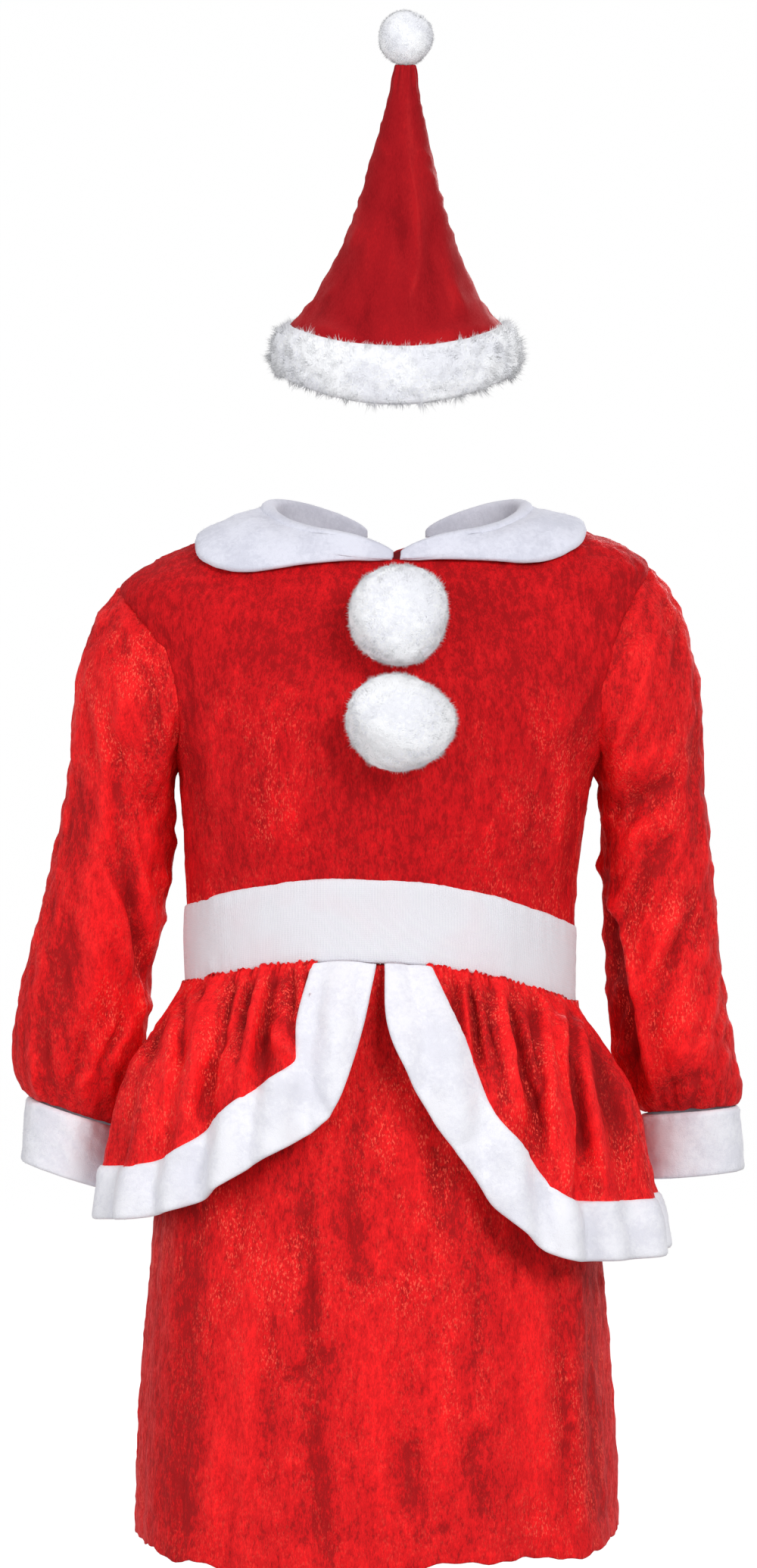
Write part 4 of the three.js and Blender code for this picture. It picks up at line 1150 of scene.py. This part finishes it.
def trim_relief(sign):
    """The folds of the table in front, soft dents elsewhere, and a strip that is fuller in its middle."""
    def relief(points, s, t):
        x, y, z = points[..., 0], points[..., 1], points[..., 2]
        front = creases(x, z, TRIM_FOLDS[sign]) * ramp(-y, 10, 35)
        dents = 0.6 * ripples(points, 26, 71) + 0.15 * ripples(points, 9, 72)
        return front + dents + 0.7 * np.sin(np.pi * t)
    return relief


for side_name, sign, table in (("left", -1, TRIM_LEFT), ("right", 1, TRIM_RIGHT)):
    wall = cloth_wall(trim_place(sign, table), TRIM_COLUMNS, TRIM_ROWS, FLEECE, TRIM_PROUD,
                      trim_relief(sign), side=sign, sewn="t1")
    piece = fuzzy_piece("fleece_border_" + side_name, wall, fleece, TRIM_HAIRS, 73 + sign, side=sign)
    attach(piece, "root")
    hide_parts("peplum_trim_" + side_name)

# Skirt: a straight velour skirt, front and back joined at the sides, that hangs from inside the waistband
# with shallow vertical folds. Its hem is turned up and hangs a little unevenly.
SKIRT_HEM_Z = -493
SKIRT_COLUMNS, SKIRT_ROWS = 140, 104
SKIRT = columns_of("share middle half front back fold", [
    [0, -8, 92, 74.5, 68.5, 0],
    [0.15, -8.5, 100, 81, 76, 0.8],
    [0.35, -9.5, 107, 87, 82, 1.8],
    [0.6, -10, 113, 92, 88, 2.6],
    [0.85, -10, 117.5, 96, 92, 3.2],
    [1, -10, 118, 97, 93, 3.4],
])
SKIRT_FOLDS = [
    [-78, 9, -0.9],
    [-52, 8, 0.8],
    [-36, 6, -0.7],
    [-16, 8, 0.9],
    [3, 6, -0.8],
    [21, 7, 0.7],
    [38, 6, -0.9],
    [57, 9, 0.9],
    [80, 8, -1],
    [104, 8, 0.8],
    [124, 7, -0.8],
    [146, 9, 0.9],
    [168, 7, -0.9],
    [-172, 8, 0.7],
    [-150, 8, -0.8],
    [-128, 9, 0.9],
    [-104, 8, -0.6],
]
SKIRT_CREASE = 1.8
SKIRT_CREASES_FRONT = [
    [-93, -316, -103, -424, 1, 6.5, -1.7],
    [-101, -392, -107, -520, 0, 7, -1.9],
    [-42, -316, -45, -342, 0, 4, -2.0],
    [-45, -330, -40, -380, -1, 3.2, -2.4],
    [-40, -360, -39, -412, 1, 3, -2.6],
    [-40, -398, -31, -505, 2, 3.4, -2.6],
    [-39, -402, -56, -413, 1, 2.8, -1.6],
    [-41, -404, -29, -396, 0, 2.6, -1.4],
    [-20, -286, -18, -372, 1, 3, -2.4],
    [18, -300, 29, -346, 1, 5.5, -2.2],
    [40, -330, 38, -418, 0, 3, -1.2],
    [43, -432, 32, -454, 1, 3.4, -1.8],
    [32, -446, 46, -478, -1, 3.4, -1.8],
    [96, -352, 99, -492, 2, 5, -2.2],
    [6, -430, 5, -478, 0, 6, -1.5],
    [-72, -344, -76, -494, -2, 8, 1.3],
    [-58, -360, -62, -470, 2, 4, -1.0],
    [-9, -366, -7, -488, 1, 7, 1.2],
    [62, -350, 66, -490, -2, 8, 1.6],
    [78, -360, 84, -480, 1, 4.5, -1.3],
    [22, -380, 20, -470, 1, 6, 0.9],
    [-84, -420, -88, -492, 0, 4, 1.2],
]
SKIRT_CREASES_BACK = [
    [-92, -330, -100, -500, 2, 5, -2.8],
    [-60, -300, -66, -420, 2, 4, -2.2],
    [-64, -404, -60, -505, -1, 4, -2.0],
    [-34, -330, -28, -490, -2, 5, 1.4],
    [-12, -300, -14, -400, 1, 4, -2.0],
    [-14, -390, -2, -505, 2, 4, -2.2],
    [20, -320, 24, -480, 2, 6, 1.4],
    [46, -300, 42, -400, 1, 4, -2.2],
    [42, -388, 52, -505, 1, 4, -2.2],
    [72, -330, 78, -490, -2, 6, 1.6],
    [92, -340, 98, -498, 2, 5, -2.2],
    [-20, -420, -34, -446, 1, 3.5, -1.4],
]
HEM_DROP = columns_of("x drop", [
    [-128, 0], [-121, 1.5], [-104, 7], [-100, 5.5], [-75, 8.5], [-31, 8.5], [2, 6.5], [24, 4], [80, 3.5],
    [86, 5.2], [92, 5], [96, 2.5], [108, -1],
])


def skirt_place(start, end):
    """Surface of the skirt between two plan angles, from the hem up: an oval that widens downwards, with
    soft folds as a sum of bells round it, and a hem that drops unevenly and waves a little."""
    def place(s, t):
        angle, share = start + (end - start) * s, 1 - t
        row = row_at(SKIRT, "share", share)
        wrapped = (angle + 180) % 360 - 180
        fold = sum(depth * np.exp(-(((wrapped - at) / width) ** 2)) for at, width, depth in SKIRT_FOLDS)
        oval = {"middle": row["middle"]}
        oval |= {name: row[name] + fold * row["fold"] for name in ("half", "front", "back")}
        top = ring_height(wrapped, LOWEST_RING) - SEAM
        points = oval_point(wrapped, oval, top + (SKIRT_HEM_Z - top) * share, BODY_SQUARENESS)
        wavy = 0.7 * np.sin(0.31 * angle) + 0.5 * np.sin(0.83 * angle + 1)
        points[..., 2] -= row_at(HEM_DROP, "x", points[..., 0])["drop"] * share**3 + wavy * share**20
        return points
    return place


def skirt_relief(points, s, t):
    """Creases in front and behind, a stitched ridge above the turned-up hem, and the crush of the pile."""
    folds = SKIRT_CREASE * front_and_back(points, SKIRT_CREASES_FRONT, SKIRT_CREASES_BACK, 6, 30)
    hem = 0.4 * (1 - ramp(t, 0.045, 0.06)) - 0.45 * np.exp(-(((t - 0.052) / 0.006) ** 2))
    return folds + crumple(points, 81) * ramp(1 - t, 0.0, 0.2) + hem


for name, start, end in (("skirt_front", -90, 90), ("skirt_back", 90, 270)):
    wall = cloth_wall(skirt_place(start, end), SKIRT_COLUMNS, SKIRT_ROWS, VELOUR, relief=skirt_relief,
                      sewn="s0 s1 t1")
    piece = cloth_piece("cloth_" + name, wall, BRIGHT_SIDES)
    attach(piece, "root")
    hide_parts(name)

# Pompoms: two fluffy white plush balls on the front and a smaller one on the hat's tip, each pressed a
# little against what it sits on. A dense pile stands out of a rounded core and leans together in tufts.
PLUSH_COLOURS = ((0.76, 0.77, 0.83), (0.90, 0.91, 0.94))
plush = fleece_material("white_plush", *PLUSH_COLOURS, 0.0014, 0.3)
# A faint white glow of the plush: painted light that stands in for light scattered through the pile
feed(plush.node_tree, plush.node_tree.nodes["Principled BSDF"],
     {"Emission Color": (0.97, 0.98, 1.0, 1), "Emission Strength": 0.14})
POMPOM_PRESS = 0.82
POMPOM_CORE, POMPOM_ROOT = 0.975, 0.965
POMPOM_COLUMNS, POMPOM_ROWS = 56, 30
POMPOM_HAIR_WIDTH = 0.25
POMPOM_UPPER = {"angle": 1.5, "ring": 8.1, "reach": 24.6, "tall": 1.03, "hairs": 18000, "lump": 0.035}
POMPOM_LOWER = {"angle": 2, "ring": 4.75, "reach": 26.6, "tall": 0.87, "hairs": 18000, "lump": 0.045}


def sphere_points(columns, rows):
    """Unit vectors in rings from the bottom pole to the top one."""
    turn, rise = np.meshgrid(2 * np.pi * np.arange(columns) / columns,
                             np.pi * (np.arange(rows) + 0.5) / rows - np.pi / 2, indexing="ij")
    return np.stack([np.cos(rise) * np.cos(turn), np.cos(rise) * np.sin(turn), np.sin(rise)], axis=-1)


def ball_faces(columns, rows):
    """Quads between the rings of a ball, and triangles to a point at each pole after the rings' points."""
    i, j = cells(columns, rows - 1)
    k, n = np.arange(columns), columns * rows
    after, wrap = (i + 1) % columns, (k + 1) % columns
    quads = np.stack([i * rows + j, after * rows + j, after * rows + j + 1, i * rows + j + 1], axis=1)
    low = np.stack([wrap * rows, k * rows, np.full(columns, n)], axis=1)
    high = np.stack([k * rows + rows - 1, wrap * rows + rows - 1, np.full(columns, n + 1)], axis=1)
    return quads, np.concatenate([low, high])


def tuft_lean(points, wave, seed):
    """A vector at each point whose three parts are ripples, so that neighbours lean the same way."""
    return np.stack([ripples(points, wave, seed + k) for k in range(3)], axis=-1)


def fluffy(name, base, base_faces, hair_points, hair_faces, directions):
    """A plush base and its pile as two pieces. Light passes through the pile to what lies behind it."""
    piece = mesh_of(name, base, base_faces, None, (plush,))
    pile = mesh_of(name + "_pile", hair_points, [(hair_faces, 0)], None, (plush,))
    lean_normals(pile, 0, directions, 0.75)
    pile.visible_shadow = False
    for part in (piece, pile):
        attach(part, "root")
    return piece, pile


def pompom(name, centre, reach, seat, press, tall, hair_count, lump, seed):
    """A core just short of the reach and hairs out to the reach, both uneven by the lump's share and pressed
    along the seat. A field of slow waves leans neighbouring hairs the same way, which makes tufts."""
    rng = np.random.default_rng(seed)

    def shaped(directions, radius):
        uneven = 1 + lump * ripples(directions * reach, 1.5 * reach, seed)
        points = directions * (radius * uneven)[..., None]
        points = points + (press - 1) * (points @ seat)[..., None] * seat
        return points * (1, 1, tall) + centre

    grid = sphere_points(POMPOM_COLUMNS, POMPOM_ROWS)
    poles = np.array([[0, 0, -1.0], [0, 0, 1.0]])
    core_radius = POMPOM_CORE * reach * (1 + 0.014 * ripples(grid * reach, 6, seed + 1))
    core = np.concatenate([shaped(grid, core_radius).reshape(-1, 3),
                           shaped(poles, np.full(2, POMPOM_CORE * reach))])
    quads, caps = ball_faces(POMPOM_COLUMNS, POMPOM_ROWS)
    directions = unit(rng.normal(size=(hair_count, 3)))
    roots = shaped(directions, np.full(hair_count, POMPOM_ROOT * reach))
    ends = shaped(directions, reach * rng.uniform(0.985, 1.01, hair_count) + 0.2)
    leave = ends - roots
    long = np.linalg.norm(leave, axis=-1)
    field = tuft_lean(roots, 6.5, seed + 2)
    sweep = (field * 0.6 + 0.5 * rng.normal(size=field.shape)) * long[:, None]
    hair_points, hair_faces = hairs(roots, unit(leave), long, POMPOM_HAIR_WIDTH, sweep)
    return fluffy(name, core, [(quads, 0), (caps, 0)], hair_points, hair_faces, unit(leave))


for name, ball, seed in (("upper", POMPOM_UPPER, 91), ("lower", POMPOM_LOWER, 191)):
    seat = body_normal(ball["angle"], ball["ring"])
    centre = body_surface(ball["angle"], ball["ring"]) + seat * (ball["reach"] * POMPOM_PRESS + SEAM)
    piece, pile = pompom("plush_pompom_" + name, centre, ball["reach"], seat, POMPOM_PRESS, ball["tall"],
                         ball["hairs"], ball["lump"], seed)
    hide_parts("pompom_" + name)

# Hat cone: a front and a back of smoother, darker red velvet, joined at the sides with slightly puckered
# seams. It is filled out, leans forward a little, and its lower edge droops at the front.
HAT_LEAN = np.radians(9)
HAT_BASE = np.array([-0.5, 0, 73])
HAT_DROOP = 11
HAT_TOP = 150
HAT_EDGE = 3
HAT_SEAM_ANGLE = 0.02
HAT_COLUMNS, HAT_ROWS = 72, 80
HAT = columns_of("up middle half depth", [
    [0, 0, 55, 0.82],
    [12, 0, 55, 0.82],
    [22, 0, 52.5, 0.83],
    [35, 0.3, 42, 0.86],
    [49, 1, 34, 0.88],
    [71, 2, 25, 0.9],
    [93, 2.6, 18.2, 0.92],
    [115, 3.4, 12.6, 0.95],
    [137, 4.2, 7.5, 1],
    [150, 4.8, 5, 1],
])
HAT_FOLDS_FRONT = [
    [5, 178, 11, 128, -1, 3.2, 2.2],
    [12, 136, 2, 98, -2, 3.6, 2.2],
    [17, 150, 16, 112, 0, 4, -1.2],
    [0, 165, 4, 120, 1, 4, -1.2],
    [-44, 95, -14, 81, -1, 4, 2.0],
    [-10, 82, 54, 97, 2, 4.5, 2.2],
    [-15, 104, -14, 76, 0, 3, -1.6],
    [-11, 185, -2, 174, 0, 2.2, 1.1],
    [9, 181, 19, 173, 0, 2, 1.1],
    [12, 171, 22, 163, 0, 2, 1.1],
    [-39, 107, -28, 114, 0, 2, 1.1],
    [-24, 130, -18, 142, 0, 2.4, 1.0],
    [26, 118, 34, 100, 1, 3.4, 1.3],
    [-32, 118, -44, 96, 1, 4, -1.2],
    [-8, 150, -16, 108, 2, 5, 0.9],
]
HAT_FOLDS_BACK = [
    [-6, 178, -12, 124, 1, 3.4, 2.0],
    [10, 160, 18, 106, -2, 4, -1.5],
    [0, 132, 4, 92, 2, 4.5, 1.6],
    [-26, 120, -36, 94, 1, 4, -1.4],
    [24, 124, 38, 96, -1, 4, 1.4],
    [-44, 100, -10, 94, 1, 4, 1.6],
]

HAT_REDS = ((0.24, 0.005, 0.009), (0.34, 0.007, 0.012), (0.44, 0.009, 0.014))
velvet = velour_material("smooth_velvet", HAT_REDS, blotches=90.0, contrast=0.6, sparkle=0.0, depth=0.0002,
                         sheen=0.3)


def hat_point(angle, up, outward=0.0):
    """Point of the cone at a plan angle and a height along it: an oval, lowered towards the front near the
    edge, then the whole cone turned forward about the X axis by its lean."""
    row = row_at(HAT, "up", up)
    depth = row["half"] * row["depth"] + outward
    oval = {"middle": row["middle"], "half": row["half"] + outward, "front": depth, "back": depth}
    ahead = np.maximum(np.cos(np.radians(angle)), 0) ** 2
    upright = oval_point(angle, oval, up - HAT_DROOP * ahead * (1 - np.clip(up / 60, 0, 1)), 1)
    x, y, z = upright[..., 0], upright[..., 1], upright[..., 2]
    leaned = np.stack([x, y * np.cos(HAT_LEAN) - z * np.sin(HAT_LEAN),
                       y * np.sin(HAT_LEAN) + z * np.cos(HAT_LEAN)], axis=-1)
    return leaned + HAT_BASE


def hat_place(start, end):
    """One half of the cone between two plan angles, a seam's gap short of both."""
    def place(s, t):
        up = HAT_EDGE + (HAT_TOP - HAT_EDGE) * t
        gap = HAT_SEAM_ANGLE * np.clip(0.15 + up / HAT_TOP, 0, 1)
        return hat_point(start + gap + (end - start - 2 * gap) * s, up)
    return place


def hat_relief(points, s, t):
    """Folds of the front or the back, pulls that run in from the puckered side seams, and pinched folds
    under the pompom."""
    x, z = points[..., 0], points[..., 2]
    forward = ramp(np.sin(np.pi * s), 0.1, 0.5)
    in_front = points[:, :, 1].mean() < 0
    folds = creases(x, z, HAT_FOLDS_FRONT if in_front else HAT_FOLDS_BACK) * forward
    seam = np.exp(-((np.minimum(s, 1 - s) / 0.11) ** 2))
    pulls = 0.5 * np.sin(z / 2.1 + 3 * np.sin(z / 8)) * seam * ramp(1 - t, 0.05, 0.4)
    pinched = 0.45 * np.sin(2 * np.pi * 5.5 * s) * ramp(t, 0.86, 0.98)
    return folds + pulls + pinched + 0.25 * ripples(points, 20, 101, (1, 1, 2))


for name, start, end in (("hat_front", -90, 90), ("hat_back", 90, 270)):
    wall = cloth_wall(hat_place(start, end), HAT_COLUMNS, HAT_ROWS, VELOUR, relief=hat_relief, sewn="s0 s1")
    piece = cloth_piece("velvet_" + name, wall, (velvet, wrong_side))
    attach(piece, "root")
    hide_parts(name)

# Hat brim: a band of white long-pile plush, folded round the cone's lower edge and rounded outwards. Its
# pile lies in small tufts and falls a little downwards.
BRIM_HEIGHT = 24
BRIM_BULGE = 6.2
BRIM_EDGE = 1.6
BRIM_CLEAR = 0.45
BRIM_PILE = 1.7
BRIM_COLUMNS, BRIM_ROWS = 150, 22
BRIM_HAIRS = 25000
BRIM_HAIR_WIDTH = 0.32


def brim_profile(share, pile):
    """How far the brim stands out at a share of its height: a rounded bulge, less the length of the pile."""
    bulge = (BRIM_BULGE - pile) * np.maximum(1 - (2 * share - 1) ** 2, 0) ** 0.4
    return BRIM_EDGE + bulge - 0.3 * pile


rng = np.random.default_rng(111)
angle, share = np.meshgrid(360 * np.arange(BRIM_COLUMNS) / BRIM_COLUMNS - 180, np.linspace(0, 1, BRIM_ROWS),
                           indexing="ij")
outer = hat_point(angle, BRIM_HEIGHT * share, brim_profile(share, BRIM_PILE))
inner = hat_point(angle, BRIM_HEIGHT * share, BRIM_CLEAR)
outer = outer + normals_of(outer, True) * (0.5 * ripples(outer, 9, 112)
                                           * ramp(np.sin(np.pi * share), 0, 0.5))[..., None]
index, _ = wall_faces(BRIM_COLUMNS, BRIM_ROWS, True)
roots, normal = scatter(outer, BRIM_HAIRS, rng, True)
pile_length = BRIM_PILE * rng.uniform(0.85, 1.3, BRIM_HAIRS)
field = tuft_lean(roots, 7, 113)
sweep = (0.8 * field + 0.5 * rng.normal(size=field.shape) + (0, 0, -0.2)) * pile_length[:, None]
hair_points, hair_faces = hairs(roots - 0.2 * normal, normal, pile_length, BRIM_HAIR_WIDTH, sweep)
piece, pile = fluffy("plush_brim", np.concatenate([outer.reshape(-1, 3), inner.reshape(-1, 3)]),
                     [(index[0], 0), (index[1], 0)], hair_points, hair_faces, normal)
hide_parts("hat_brim")

# Hat pompom: the same plush, sewn to the tip
HAT_POMPOM = {"reach": 13.3, "hairs": 8000, "lump": 0.02}
hat_up = np.array([0, -np.sin(HAT_LEAN), np.cos(HAT_LEAN)])
hat_tip = (hat_point(0.0, float(HAT_TOP)) + hat_point(180.0, float(HAT_TOP))) / 2
piece, pile = pompom("plush_pompom_hat", hat_tip + hat_up * HAT_POMPOM["reach"] * 0.97, HAT_POMPOM["reach"],
                     hat_up, 1, 1, HAT_POMPOM["hairs"], HAT_POMPOM["lump"], 291)
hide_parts("hat_pompom")

# Studio: a pale floor that rises all round into a low wall, seen by the camera but casting no shade
FLOOR_Z, FLOOR_RADIUS, COVE_RADIUS, WALL_TOP = -620, 4200, 1500, 6500
FLAT_END, BEND_END = 0.35, 0.75
FLOOR_COLUMNS, FLOOR_ROWS = 72, 40
turn, way = np.meshgrid(2 * np.pi * np.arange(FLOOR_COLUMNS) / FLOOR_COLUMNS, np.linspace(0, 1, FLOOR_ROWS),
                        indexing="ij")
bend = np.clip((way - FLAT_END) / (BEND_END - FLAT_END), 0, 1) * np.pi / 2
radius = FLOOR_RADIUS * np.clip(way / FLAT_END, 1e-6, 1) + COVE_RADIUS * np.sin(bend)
height = (FLOOR_Z + COVE_RADIUS * (1 - np.cos(bend))
          + (WALL_TOP - COVE_RADIUS) * np.clip((way - BEND_END) / (1 - BEND_END), 0, 1))
points = np.stack([radius * np.cos(turn), radius * np.sin(turn), height], axis=-1)
i, j = cells(FLOOR_COLUMNS, FLOOR_ROWS - 1)
here, beside = i * FLOOR_ROWS + j, (i + 1) % FLOOR_COLUMNS * FLOOR_ROWS + j
quads = np.stack([here, here + 1, beside + 1, beside], axis=1)
paper, tree, shader = new_material("pale_paper")
feed(tree, shader, {"Base Color": (0.14, 0.14, 0.142, 1), "Emission Color": (1.0, 1.0, 1.0, 1),
                    "Emission Strength": 0.92, "Roughness": 0.95, "Specular IOR Level": 0.1})
studio = mesh_of("studio_floor", points.reshape(-1, 3), [(quads[:, ::-1], 0)], None, (paper,))
studio.visible_diffuse = False
studio.visible_glossy = False
studio.visible_shadow = False

world = bpy.data.worlds.new("studio_light")
world.use_nodes = True
feed(world.node_tree, world.node_tree.nodes["Background"],
     {"Color": (1.0, 0.995, 0.99, 1), "Strength": 0.46})
bpy.context.scene.world = world


def soft_light(name, place, aim, size, power):
    """A square area light that faces a point."""
    lamp = bpy.data.lights.new(name, "AREA")
    lamp.shape, lamp.size, lamp.energy = "SQUARE", size, power
    holder = bpy.data.objects.new(name, lamp)
    holder.location = place
    way = np.array(aim, float) - np.array(place, float)
    holder.rotation_euler = (np.arccos(-way[2] / np.linalg.norm(way)), 0, np.arctan2(-way[0], way[1]))
    holder.visible_camera = False
    bpy.context.scene.collection.objects.link(holder)


MIDDLE = (0, 0, -0.12)
for name, place, size, power in (("key_light", (1.2, -2.4, 1.0), 1.0, 44),
                                 ("fill_light", (-2.0, -2.1, 0.2), 1.4, 26),
                                 ("top_light", (-0.3, 0.6, 2.3), 1.3, 9),
                                 ("back_light", (0.9, 2.6, 0.9), 1.5, 36)):
    soft_light(name, place, MIDDLE, size, power)

# Camera: level, three metres in front, framed as the photograph
CAMERA_AWAY = 3.0
FRAME_HEIGHT = 0.7659
camera = bpy.data.objects.new("camera", bpy.data.cameras.new("camera"))
camera.location = (-0.0089, -CAMERA_AWAY, -0.1276)
camera.rotation_euler = (np.pi / 2, 0, 0)
camera.data.sensor_fit = "VERTICAL"
camera.data.sensor_height = 24
camera.data.lens = camera.data.sensor_height * CAMERA_AWAY / FRAME_HEIGHT
bpy.context.scene.collection.objects.link(camera)
bpy.context.scene.camera = camera
bpy.context.scene.view_settings.view_transform = "Standard"
